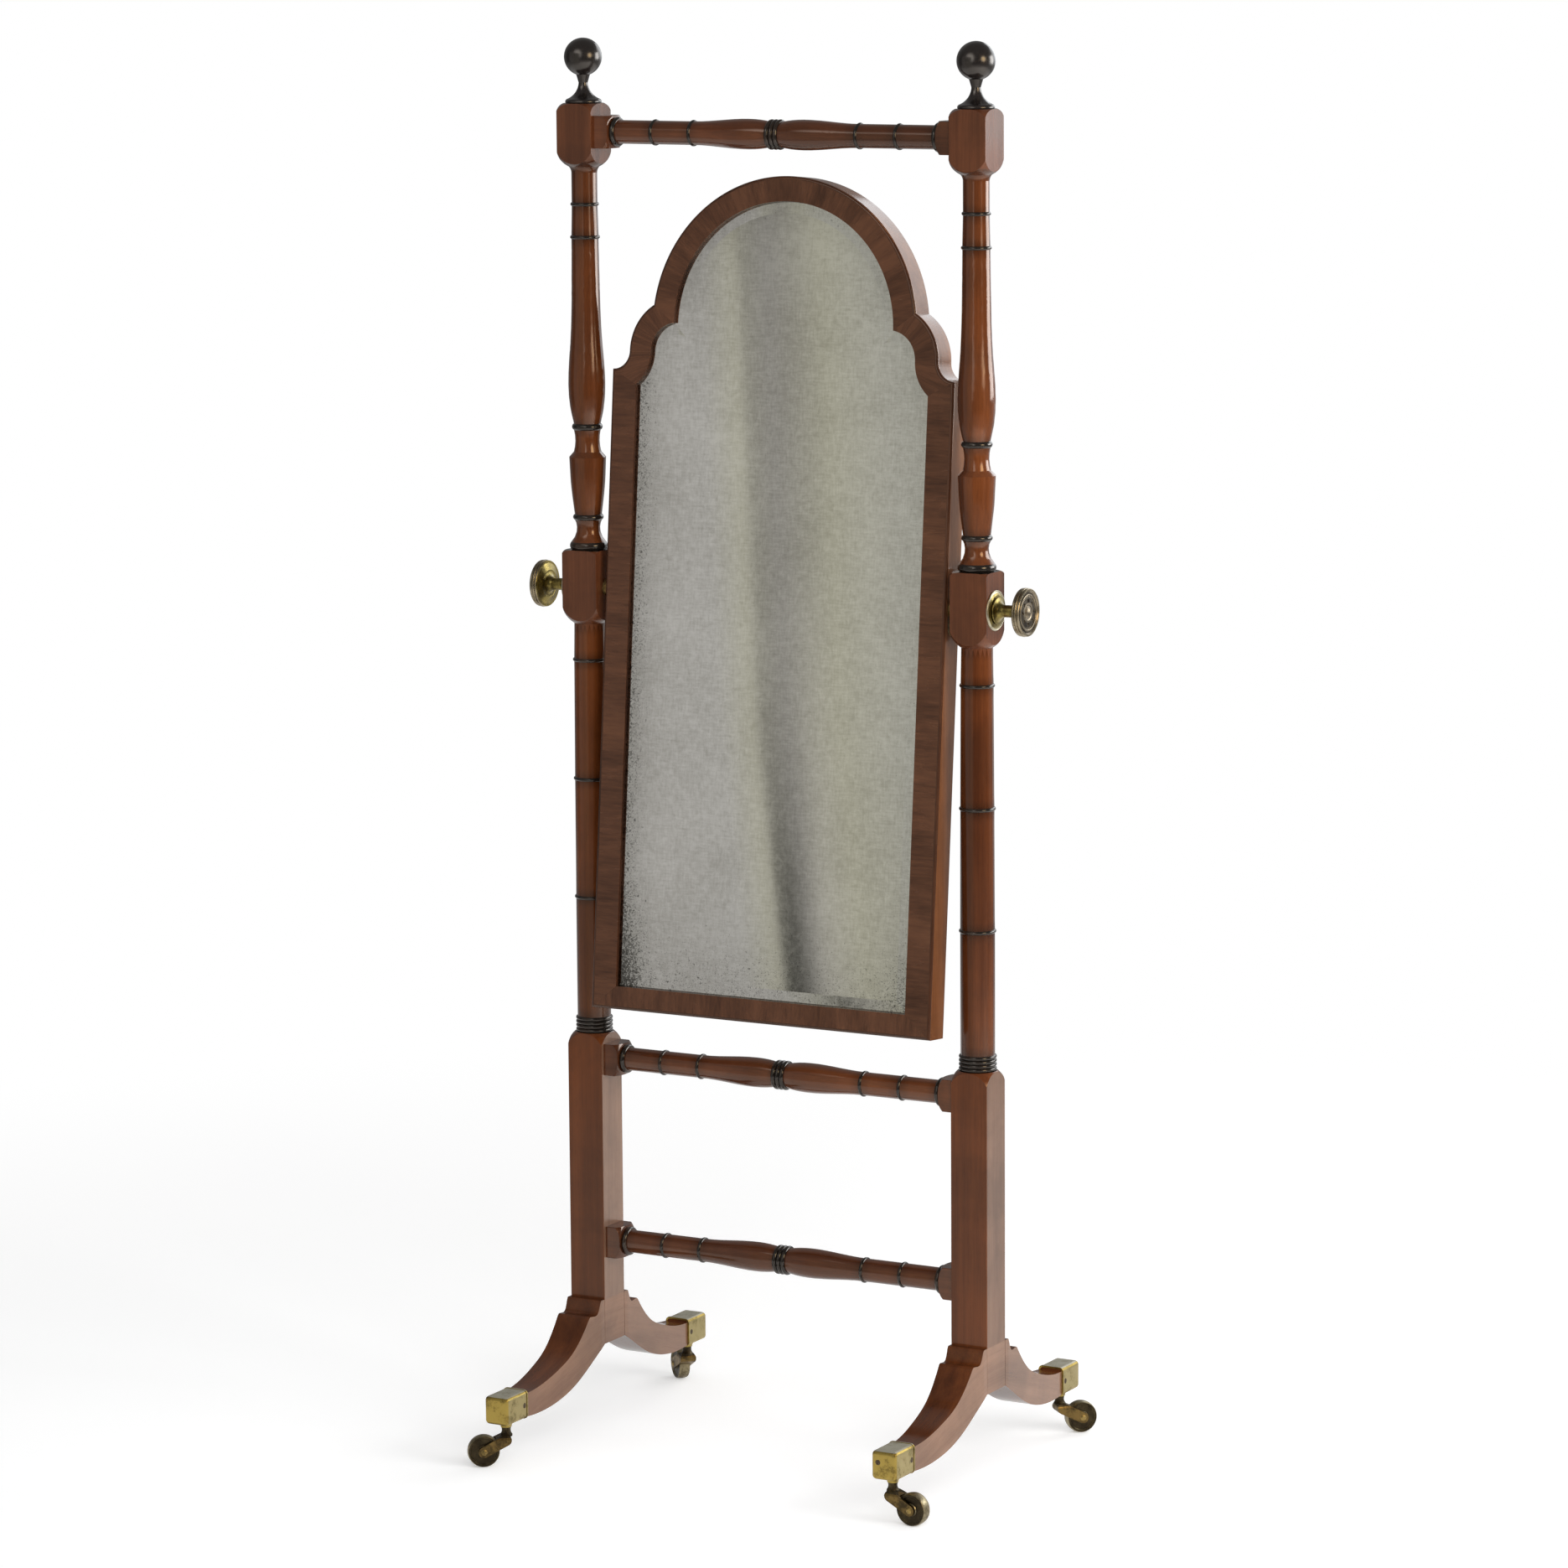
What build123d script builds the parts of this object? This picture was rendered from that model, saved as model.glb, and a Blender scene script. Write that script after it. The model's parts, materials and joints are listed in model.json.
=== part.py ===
"""A cheval floor mirror: an arched swing mirror between two turned uprights, on sabre feet with castors."""

import os
from math import asin, atan2, copysign, cos, degrees, hypot, pi, radians, sin, sqrt

from build123d import *

os.makedirs("parts", exist_ok=True)

# Frame of the model, in millimetres: origin on the floor midway between the uprights,
# +X to the right, -Y towards the front, +Z up.

# Fits
glue_gap = 0.05
running_clearance = 0.06
face_clearance = 0.3

# Uprights: square stock, turned between three square blocks
post_spacing = 495.0
post_side = 45.0
post_arris = 0.8
lower_block_length = 311.0
lower_shaft_length = 473.0
pivot_block_length = 84.0
baluster_length = 433.0
top_block_length = 71.0
post_tenon_radius = 10.0
post_tenon_length = 36.0

# Lathe shoulders where the square runs out into the round
lower_shoulder = 22.0
lower_shoulder_radius = 21.8
pivot_under_shoulder = 28.0
pivot_top_shoulder = 8.0
pivot_top_radius = 22.0
top_under_shoulder = 25.0
top_shoulder = 15.0
top_flat_radius = 23.0

# Turning of the lower shaft, from four beads up to the pivot block
foot_bead_count = 4
foot_bead_height = 4.5
foot_bead_radius = 21.2
shaft_foot_radius = 19.3
shaft_middle_radius = 18.9
shaft_top_radius = 17.5
ring_proud = 1.5
ring_half_height = 2.0
first_ring_rise = 157.0
last_ring_drop = 42.0

# Turning of the upper shaft, from the pivot block up: torus, bell, bead, cup, cove, bead, vase, rings, flare
torus_radius = 21.4
torus_height = 8.9
bell_foot_radius = 19.6
bell_waist_radius = 13.2
bell_height = 25.0
lower_bead_radius = 17.4
lower_bead_height = 6.4
cup_foot_radius = 15.4
cup_belly_radius = 19.2
cup_lip_radius = 20.9
cup_height = 65.2
cup_shoulder_radius = 15.6
cup_shoulder_height = 6.0
upper_cove_radius = 13.8
upper_cove_height = 24.7
upper_bead_radius = 17.4
upper_bead_height = 7.2
vase_foot_radius = 15.2
vase_belly_radius = 20.9
vase_top_radius = 15.4
neck_radius = 14.6
neck_flare_radius = 17.2
neck_flare_height = 6.5
upper_ring_drop = 42.0
lower_ring_drop = 79.0

# Finials: a ball on a trumpet foot
finial_base_radius = 20.6
finial_base_height = 4.5
finial_neck_radius = 5.2
finial_neck_rise = 23.0
finial_collar_radius = 7.8
finial_ball_radius = 21.3
finial_height = 73.0
finial_dowel_radius = 5.0
finial_dowel_length = 18.0

# Stretchers: three turned rails with square pads, tenoned into the uprights
pad_side = 36.5
pad_length = 19.0
pad_shoulder = 11.0
rail_end_ring_radius = 16.6
rail_end_ring_length = 6.0
rail_radius = 13.2
rail_bulge_radius = 16.8
rail_bulge_place = 30.0
rail_waist_radius = 14.3
rail_bead_radius = 16.8
rail_bead_length = 5.4
rail_inner_ring_place = 105.0
rail_outer_ring_place = 154.0
rail_tenon_radius = 7.0
rail_tenon_length = 17.0
top_rail_drop = 31.5
middle_rail_drop = 29.5
bottom_rail_rise = 67.0

# Feet: a block under each upright with a sabre leg tenoned into its front and back
foot_block_height = 52.5
leg_rise = 101.8
leg_root_width = 45.0
leg_reach = 224.0
leg_step_length = 30.0
leg_step_drop = 14.5
leg_lip_length = 7.5
leg_saddle = 2.2
leg_tenon_width = 14.0
leg_tenon_height = 30.0
leg_tenon_length = 9.0
toe_width = 27.6
toe_height = 29.4
toe_round = 3.4

# Castors: brass box socket, swivelling horn, solid wheel
socket_wall = 1.5
socket_length = 44.0
socket_nose_wall = 3.0
socket_nose_round = 4.4
socket_lip_width = 2.2
socket_lip_proud = 0.7
socket_boss_radius = 10.6
socket_boss_neck_radius = 6.4
socket_boss_height = 6.1
socket_screw_inset = 7.0
nose_screw_offset = 7.0
nose_screw_lift = 3.5
swivel_height = 45.5
swivel_setback = 21.5
swivel_pin_radius = 3.6
swivel_head_radius = 5.2
swivel_head_height = 2.5
castor_trail = 26.0
horn_neck_radius = 5.8
horn_crown_radius = 6.4
horn_crown_offset = 1.0
horn_crown_height = 31.4
horn_eye_radius = 6.2
cheek_thickness = 2.7
wheel_diameter = 37.0
wheel_width = 13.0
wheel_side_clearance = 0.5
wheel_rim_clearance = 1.4
wheel_recess = 1.2
wheel_hub_radius = 6.4
wheel_rim_width = 3.4
tread_crown = 0.7
axle_radius = 2.4
axle_head_radius = 3.5
axle_head_height = 0.9

# Direction in which each castor trails, in degrees from +X
castor_heading = {
    "front_left": 217.0,
    "front_right": -4.0,
    "rear_left": 138.0,
    "rear_right": 47.0,
}

# Swing mirror: its outline is measured from the pivot axis, on a plane that leans back
mirror_lean = 5.0
mirror_depth = 33.0
side_gap = 8.0
swing_gap_top = 28.0
swing_gap_bottom = 48.0
arch_inset = 49.5
ear_radius = 61.0
ear_drop = 32.0
cove_radius = 21.0
stile_width = 31.5
head_band = 28.0
bottom_band = 26.5
veneer_thickness = 1.0
frame_edge_width = 3.6
frame_edge_round = 3.2
lip_thickness = 4.0
glass_rebate = 7.0
glass_clearance = 1.0
glass_thickness = 4.0
bevel_width = 19.0
bevel_depth = 1.4
backboard_rebate = 8.0
backboard_thickness = 6.0
backboard_clearance = 0.4
glazing_block_side = 10.0
glazing_block_length = 40.0

# Pivots: thumb screws through the uprights into plates let into the mirror stiles
shank_radius = 4.75
shank_engagement = 14.0
backplate_radius = 22.3
backplate_thickness = 2.6
backplate_rim = 1.4
trumpet_radius = 15.0
knob_stem_radius = 6.8
knob_radius = 27.0
knob_rim_thickness = 9.0
knob_reach = 65.0
knob_button_radius = 7.5
knob_petal_count = 8
knob_petal_radius = 2.6
knob_petal_circle = 13.0
pivot_plate_thickness = 2.5
pivot_plate_length = 62.0
pivot_plate_width = 18.0
pivot_boss_radius = 9.5

# Wood screws
screw_head_radius = 3.1
screw_shank_radius = 1.5
screw_length = 14.0
screw_slot_width = 0.7
screw_slot_depth = 0.5
plate_screw_spread = 44.0
backboard_screw_pitch = 190.0


# Heights worked out from the floor up
wheel_radius = wheel_diameter / 2
socket_bottom = swivel_height + socket_boss_height
toe_bottom = socket_bottom + socket_wall + glue_gap
toe_top = toe_bottom + toe_height
foot_top = toe_bottom + leg_rise
foot_bottom = foot_top - foot_block_height
lower_top = foot_top + lower_block_length
pivot_bottom = lower_top + lower_shaft_length
ring_pitch = (lower_shaft_length - first_ring_rise - last_ring_drop) / 2
pivot_top = pivot_bottom + pivot_block_length
pivot_height = (pivot_bottom + pivot_top) / 2
top_bottom = pivot_top + baluster_length
post_top = top_bottom + top_block_length
rail_height = {
    "top": post_top - top_rail_drop,
    "middle": lower_top - middle_rail_drop,
    "bottom": foot_top + bottom_rail_rise,
}

# Plan sizes
post_half = post_side / 2
post_x = post_spacing / 2
rail_half = post_x - post_half
block_reach = post_side * sqrt(2) / 2 + 1
socket_nose = leg_reach + glue_gap + socket_nose_wall
socket_mouth = socket_nose - socket_length
swivel_reach = socket_nose - swivel_setback
sides = {"left": -1, "right": 1}
corners = {
    "front_left": (-1, -1),
    "front_right": (1, -1),
    "rear_left": (-1, 1),
    "rear_right": (1, 1),
}

# Outline of the mirror, from the pivot axis
mirror_half = rail_half - side_gap
mirror_rise = rail_height["top"] - pivot_height - pad_side / 2 - swing_gap_top
mirror_drop = pivot_height - rail_height["middle"] - pad_side / 2 - swing_gap_bottom
arch_radius = mirror_half - arch_inset
arch_centre = mirror_rise - arch_radius
ear_centre = (mirror_half - cove_radius - ear_radius, arch_centre - ear_drop)
mirror_plane = Plane(
    origin=(0, 0, pivot_height),
    x_dir=(1, 0, 0),
    z_dir=(0, -cos(radians(mirror_lean)), sin(radians(mirror_lean))),
)
front_face = mirror_depth / 2
ground_face = front_face - veneer_thickness
rebate_face = ground_face - lip_thickness
bevel_at_sight = bevel_depth * (1 - (glass_rebate - glass_clearance) / bevel_width)
glass_face = rebate_face + bevel_at_sight - running_clearance
glass_back = glass_face - glass_thickness
backboard_face = -front_face + backboard_thickness


def lathe_plane(x, y=0.0):
    """Upright plane through a vertical turning axis: local x is the radius, local y the height."""
    return Plane(origin=(x, y, 0), x_dir=(1, 0, 0), z_dir=(0, -1, 0))


def upright_axis(x, y=0.0):
    return Axis((x, y, 0), (0, 0, 1))


def save(builder, name):
    builder.part.label = name
    export_step(builder.part, f"parts/{name}.step")


def shoulder(inner_radius, inner_height, outer_radius, outer_height):
    """Arc from the round up to the square, upright where it meets the face of the block."""
    run = outer_radius - inner_radius
    rise = outer_height - inner_height
    radius = (run**2 + rise**2) / (2 * run)
    half_angle = asin(min(1.0, abs(rise) / radius)) / 2
    middle = (
        outer_radius - radius + radius * cos(half_angle),
        outer_height - copysign(radius * sin(half_angle), rise),
    )
    return (inner_radius, inner_height), middle, (outer_radius, outer_height)


def bead(start_radius, end_radius, bulge_radius, start, end):
    """Half-round bead along a turning axis, in the current profile."""
    ThreePointArc((start_radius, start), (bulge_radius, (start + end) / 2), (end_radius, end))


def upright_profile():
    """Half profile of one upright, from its tenon to the flat under the finial."""
    Polyline(
        (0, foot_top),
        (0, foot_top - post_tenon_length),
        (post_tenon_radius, foot_top - post_tenon_length),
        (post_tenon_radius, foot_top),
        (block_reach, foot_top),
        (block_reach, lower_top - lower_shoulder),
    )
    low, middle, high = shoulder(lower_shoulder_radius, lower_top, block_reach, lower_top - lower_shoulder)
    ThreePointArc(high, middle, low)
    Line((lower_shoulder_radius, lower_top), (shaft_foot_radius, lower_top))
    height = lower_top
    for _ in range(foot_bead_count):
        bead(shaft_foot_radius, shaft_foot_radius, foot_bead_radius, height, height + foot_bead_height)
        height += foot_bead_height

    # Plain shaft with three thin rings
    radius = shaft_foot_radius
    shaft_radii = (shaft_foot_radius, shaft_middle_radius, (shaft_middle_radius + shaft_top_radius) / 2)
    for index, ring_radius in enumerate(shaft_radii):
        ring_foot = lower_top + first_ring_rise + index * ring_pitch - ring_half_height
        ring_head = ring_foot + 2 * ring_half_height
        Line((radius, height), (ring_radius, ring_foot))
        bead(ring_radius, ring_radius, ring_radius + ring_proud, ring_foot, ring_head)
        radius = ring_radius
        height = ring_head
    Line((radius, height), (shaft_top_radius, pivot_bottom))

    # Pivot block
    ThreePointArc(*shoulder(shaft_top_radius, pivot_bottom, block_reach, pivot_bottom + pivot_under_shoulder))
    Line((block_reach, pivot_bottom + pivot_under_shoulder), (block_reach, pivot_top - pivot_top_shoulder))
    low, middle, high = shoulder(pivot_top_radius, pivot_top, block_reach, pivot_top - pivot_top_shoulder)
    ThreePointArc(high, middle, low)

    # Torus, bell, bead, cup, cove and bead under the vase
    torus_foot_radius = torus_radius - torus_height / 4
    Line((pivot_top_radius, pivot_top), (torus_foot_radius, pivot_top))
    height = pivot_top + torus_height
    bead(torus_foot_radius, bell_foot_radius, torus_radius, pivot_top, height)
    Spline(
        (bell_foot_radius, height),
        (bell_waist_radius + 0.1 * (bell_foot_radius - bell_waist_radius), height + 0.42 * bell_height),
        (bell_waist_radius, height + 0.66 * bell_height),
        (cup_foot_radius, height + bell_height),
    )
    height += bell_height
    bead(cup_foot_radius, cup_foot_radius, lower_bead_radius, height, height + lower_bead_height)
    height += lower_bead_height
    bead(cup_foot_radius, cup_lip_radius, cup_belly_radius, height, height + cup_height)
    height += cup_height
    Line((cup_lip_radius, height), (cup_shoulder_radius, height + cup_shoulder_height))
    height += cup_shoulder_height
    bead(cup_shoulder_radius, vase_foot_radius, upper_cove_radius, height, height + upper_cove_height)
    height += upper_cove_height
    bead(vase_foot_radius, vase_foot_radius, upper_bead_radius, height, height + upper_bead_height)
    height += upper_bead_height

    # Vase, tapering up to two rings under the top block
    lower_ring = top_bottom - lower_ring_drop
    upper_ring = top_bottom - upper_ring_drop
    vase_length = lower_ring - ring_half_height - height
    vase_fullness = vase_belly_radius - vase_top_radius
    Spline(
        (vase_foot_radius, height),
        (vase_belly_radius, height + 0.21 * vase_length),
        (vase_top_radius + 0.45 * vase_fullness, height + 0.46 * vase_length),
        (vase_top_radius + 0.1 * vase_fullness, height + 0.75 * vase_length),
        (vase_top_radius, lower_ring - ring_half_height),
    )
    bead(
        vase_top_radius,
        vase_top_radius,
        vase_top_radius + ring_proud,
        lower_ring - ring_half_height,
        lower_ring + ring_half_height,
    )
    Line((vase_top_radius, lower_ring + ring_half_height), (neck_radius, upper_ring - ring_half_height))
    bead(
        neck_radius,
        neck_radius,
        neck_radius + ring_proud,
        upper_ring - ring_half_height,
        upper_ring + ring_half_height,
    )
    Line((neck_radius, upper_ring + ring_half_height), (neck_radius, top_bottom - neck_flare_height))
    bead(
        neck_radius,
        neck_flare_radius,
        neck_radius + 0.25 * (neck_flare_radius - neck_radius),
        top_bottom - neck_flare_height,
        top_bottom,
    )

    # Top block
    ThreePointArc(*shoulder(neck_flare_radius, top_bottom, block_reach, top_bottom + top_under_shoulder))
    Line((block_reach, top_bottom + top_under_shoulder), (block_reach, post_top - top_shoulder))
    low, middle, high = shoulder(top_flat_radius, post_top, block_reach, post_top - top_shoulder)
    ThreePointArc(high, middle, low)
    Polyline((top_flat_radius, post_top), (0, post_top), (0, foot_top))


def upright(side):
    """One upright: the turned profile trimmed by its square stock, with its mortises and pivot bore."""
    x = side * post_x
    with BuildPart() as post:
        with BuildSketch(lathe_plane(x)):
            with BuildLine():
                upright_profile()
            make_face()
        revolve(axis=upright_axis(x))
        with BuildSketch(Plane.XY.offset(foot_top - post_tenon_length)):
            with Locations((x, 0)):
                RectangleRounded(post_side, post_side, post_arris)
        extrude(amount=post_top - foot_top + post_tenon_length, mode=Mode.INTERSECT)
        with Locations((x, 0, post_top)):
            Cylinder(
                finial_dowel_radius + glue_gap,
                finial_dowel_length + glue_gap,
                align=(Align.CENTER, Align.CENTER, Align.MAX),
                mode=Mode.SUBTRACT,
            )
        for height in rail_height.values():
            with Locations(Location((x - side * (post_half - rail_tenon_length / 2), 0, height), (0, 90, 0))):
                Cylinder(rail_tenon_radius + glue_gap, rail_tenon_length + 2 * glue_gap, mode=Mode.SUBTRACT)
        with Locations(Location((x, 0, pivot_height), (0, 90, 0))):
            Cylinder(shank_radius + running_clearance, 2 * post_side, mode=Mode.SUBTRACT)
    return post


def finial(side):
    """Ball on a trumpet foot, with the dowel that glues it into the upright."""
    x = side * post_x
    ball_height = post_top + finial_height - finial_ball_radius
    collar_height = ball_height - sqrt(finial_ball_radius**2 - finial_collar_radius**2)
    base_top = post_top + finial_base_height
    with BuildPart() as ball:
        with BuildSketch(lathe_plane(x)):
            with BuildLine():
                Polyline(
                    (0, post_top + finial_height),
                    (0, post_top - finial_dowel_length),
                    (finial_dowel_radius, post_top - finial_dowel_length),
                    (finial_dowel_radius, post_top),
                    (finial_base_radius - 0.6, post_top),
                )
                bead(
                    finial_base_radius - 0.6,
                    finial_base_radius - 0.6,
                    finial_base_radius,
                    post_top,
                    base_top - 1,
                )
                Line((finial_base_radius - 0.6, base_top - 1), (finial_base_radius - 1.6, base_top))
                ThreePointArc(
                    (finial_base_radius - 1.6, base_top),
                    (
                        finial_neck_radius + 0.24 * (finial_base_radius - finial_neck_radius),
                        base_top + 0.42 * (finial_neck_rise - finial_base_height),
                    ),
                    (finial_neck_radius, post_top + finial_neck_rise),
                )
                Line((finial_neck_radius, post_top + finial_neck_rise), (finial_collar_radius, collar_height))
                ThreePointArc(
                    (finial_collar_radius, collar_height),
                    (finial_ball_radius, ball_height),
                    (0, post_top + finial_height),
                )
            make_face()
        revolve(axis=upright_axis(x))
    return ball


def rail_profile():
    """Half profile of a stretcher: local x along the rail, local y the radius, tenon to tenon."""
    tenon_end = rail_half + rail_tenon_length
    pad_start = rail_half - pad_length
    ring_start = pad_start - rail_end_ring_length
    pad_reach = pad_side * sqrt(2) / 2 + 1
    Polyline(
        (0, 0),
        (tenon_end, 0),
        (tenon_end, rail_tenon_radius),
        (rail_half, rail_tenon_radius),
        (rail_half, pad_reach),
        (pad_start + pad_shoulder, pad_reach),
    )
    ThreePointArc(
        (pad_start + pad_shoulder, pad_reach),
        (pad_start + 0.3 * pad_shoulder, rail_radius + 0.72 * (pad_reach - rail_radius)),
        (pad_start, rail_radius + 1),
    )
    ThreePointArc(
        (pad_start, rail_radius + 1),
        ((pad_start + ring_start) / 2, rail_end_ring_radius),
        (ring_start, rail_radius),
    )
    place = ring_start
    for ring in (rail_outer_ring_place, rail_inner_ring_place):
        Line((place, rail_radius), (ring + ring_half_height, rail_radius))
        ThreePointArc(
            (ring + ring_half_height, rail_radius),
            (ring, rail_radius + ring_proud),
            (ring - ring_half_height, rail_radius),
        )
        place = ring - ring_half_height
    bead_edge = 1.5 * rail_bead_length
    Spline(
        (place, rail_radius),
        (place - 0.45 * (place - rail_bulge_place), rail_radius + 0.5 * (rail_bulge_radius - rail_radius)),
        (rail_bulge_place, rail_bulge_radius),
        (bead_edge, rail_waist_radius),
    )
    ThreePointArc(
        (bead_edge, rail_waist_radius),
        (rail_bead_length, rail_bead_radius),
        (rail_bead_length / 2, rail_waist_radius),
    )
    full = rail_waist_radius + (rail_bead_radius - rail_waist_radius)
    ThreePointArc(
        (rail_bead_length / 2, rail_waist_radius),
        (rail_bead_length / 4, rail_waist_radius + 0.8 * (full - rail_waist_radius)),
        (0, full),
    )
    Line((0, full), (0, 0))


def stretcher(height):
    """One turned rail: half of it revolved, trimmed to its square pads and mirrored."""
    with BuildPart() as rail:
        with BuildSketch(Plane(origin=(0, 0, height), x_dir=(1, 0, 0), z_dir=(0, -1, 0))):
            with BuildLine():
                rail_profile()
            make_face()
        revolve(axis=Axis((0, 0, height), (1, 0, 0)))
        with BuildSketch(Plane(origin=(0, 0, height), x_dir=(0, 1, 0), z_dir=(1, 0, 0))):
            RectangleRounded(pad_side, pad_side, post_arris)
        extrude(amount=post_x, mode=Mode.INTERSECT)
        mirror(about=Plane.YZ)
    return rail


def foot_block(side):
    """Block under an upright: mortised above for the upright and at front and back for the legs."""
    x = side * post_x
    with BuildPart() as block:
        with BuildSketch(Plane.XY.offset(foot_bottom)):
            with Locations((x, 0)):
                RectangleRounded(post_side, post_side, post_arris)
        extrude(amount=foot_block_height)
        with Locations((x, 0, foot_top)):
            Cylinder(
                post_tenon_radius + glue_gap,
                post_tenon_length + glue_gap,
                align=(Align.CENTER, Align.CENTER, Align.MAX),
                mode=Mode.SUBTRACT,
            )
        for end in (-1, 1):
            with Locations((x, end * (post_half - leg_tenon_length / 2), (foot_top + foot_bottom) / 2)):
                Box(
                    leg_tenon_width + 2 * glue_gap,
                    leg_tenon_length + 2 * glue_gap,
                    leg_tenon_height + 2 * glue_gap,
                    mode=Mode.SUBTRACT,
                )
    return block


def leg(side, end, screws):
    """Sabre leg: stepped at the block, sweeping out and down to a square toe inside its socket."""
    x = side * post_x
    step_end = post_half + leg_step_length
    with BuildPart() as sabre:
        with BuildSketch(Plane(origin=(x, 0, 0), x_dir=(0, end, 0), z_dir=(end, 0, 0))):
            with BuildLine():
                Line((post_half, foot_bottom), (post_half, foot_top))
                Line((post_half, foot_top), (post_half + leg_lip_length, foot_top))
                Spline(
                    (post_half + leg_lip_length, foot_top),
                    (post_half + leg_lip_length + 3.2, foot_top - 0.4 * leg_step_drop),
                    (post_half + leg_lip_length + 7.0, foot_top - 0.92 * leg_step_drop),
                    (post_half + leg_lip_length + 14.0, foot_top - leg_step_drop - 1.0),
                )
                Line(
                    (post_half + leg_lip_length + 14.0, foot_top - leg_step_drop - 1.0),
                    (step_end, foot_top - leg_step_drop),
                )
                end_top = toe_top - leg_saddle
                fall = foot_top - leg_step_drop - end_top
                run = socket_mouth - step_end
                Line((step_end, foot_top - leg_step_drop), (step_end + 2.5, foot_top - leg_step_drop - 1.5))
                Spline(
                    (step_end + 2.5, foot_top - leg_step_drop - 1.5),
                    (step_end + 0.11 * run, end_top + 0.745 * fall),
                    (step_end + 0.285 * run, end_top + 0.42 * fall),
                    (step_end + 0.52 * run, end_top + 0.2 * fall),
                    (step_end + 0.78 * run, end_top + 0.05 * fall),
                    (socket_mouth, end_top),
                )
                Line((socket_mouth, end_top), (socket_mouth, toe_bottom))
                under = foot_bottom - toe_bottom
                stretch = socket_mouth - post_half
                Spline(
                    (socket_mouth, toe_bottom),
                    (post_half + 0.665 * stretch, toe_bottom + 0.035 * under),
                    (post_half + 0.385 * stretch, toe_bottom + 0.29 * under),
                    (post_half + 0.175 * stretch, toe_bottom + 0.66 * under),
                    (post_half, foot_bottom),
                )
            make_face()
        extrude(amount=leg_root_width, both=True)
        with BuildSketch(Plane.XY):
            with BuildLine():
                Polyline(
                    (x - leg_root_width / 2, end * post_half),
                    (x - leg_root_width / 2, end * (post_half + leg_lip_length)),
                    (x - toe_width / 2, end * socket_mouth),
                    (x + toe_width / 2, end * socket_mouth),
                    (x + leg_root_width / 2, end * (post_half + leg_lip_length)),
                    (x + leg_root_width / 2, end * post_half),
                    close=True,
                )
            make_face()
        extrude(amount=2 * foot_top, mode=Mode.INTERSECT)

        # Toe inside the socket and tenon inside the block
        with BuildSketch(Plane(origin=(x, end * socket_mouth, 0), x_dir=(1, 0, 0), z_dir=(0, end, 0))):
            with Locations((0, -end * (toe_bottom + toe_height / 2))):
                RectangleRounded(toe_width, toe_height, toe_round)
        extrude(amount=leg_reach - socket_mouth)
        with Locations((x, end * (post_half - leg_tenon_length / 2), (foot_top + foot_bottom) / 2)):
            Box(leg_tenon_width, leg_tenon_length, leg_tenon_height)

        # Room for the upset head of the castor pin, and holes for the socket screws
        with Locations((x, end * swivel_reach, toe_bottom)):
            Cylinder(
                swivel_head_radius + 0.5,
                swivel_head_height + 1.2,
                align=(Align.CENTER, Align.CENTER, Align.MIN),
                mode=Mode.SUBTRACT,
            )
        add(screws.part, mode=Mode.SUBTRACT)
    return sabre


def screw_shape(place, facing):
    """Countersunk slotted wood screw with its head flush at a place, in the current part."""
    where = Plane(origin=place, z_dir=facing).location
    head_depth = screw_head_radius - screw_shank_radius
    with Locations(where):
        Cylinder(screw_shank_radius, screw_length, align=(Align.CENTER, Align.CENTER, Align.MAX))
        Cone(
            screw_shank_radius,
            screw_head_radius,
            head_depth,
            align=(Align.CENTER, Align.CENTER, Align.MAX),
        )


def screw_slot(place, facing):
    with Locations(Plane(origin=place, z_dir=facing).location):
        Box(2 * screw_head_radius + 1, screw_slot_width, 2 * screw_slot_depth, mode=Mode.SUBTRACT)


def screw_set(places):
    """Several wood screws as one piece of hardware, without their slots so that it can cut its holes."""
    with BuildPart() as screws:
        for place, facing in places:
            screw_shape(place, facing)
    return screws


def slotted(screws, places):
    with BuildPart() as finished:
        add(screws.part)
        for place, facing in places:
            screw_slot(place, facing)
    return finished


# Screws that hold the toe sockets, one in each side wall near the lip, and a later one in a nose
socket_half = toe_width / 2 + glue_gap + socket_wall
socket_screw_places = {
    corner: [
        (
            (
                side * post_x + face * socket_half,
                end * (socket_mouth + socket_screw_inset),
                toe_bottom + toe_height / 2,
            ),
            (face, 0, 0),
        )
        for face in (-1, 1)
    ]
    for corner, (side, end) in corners.items()
}
socket_screw_places["front_right"].append(
    (
        (post_x - nose_screw_offset, -socket_nose, toe_bottom + toe_height / 2 + nose_screw_lift),
        (0, -1, 0),
    )
)


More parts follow.
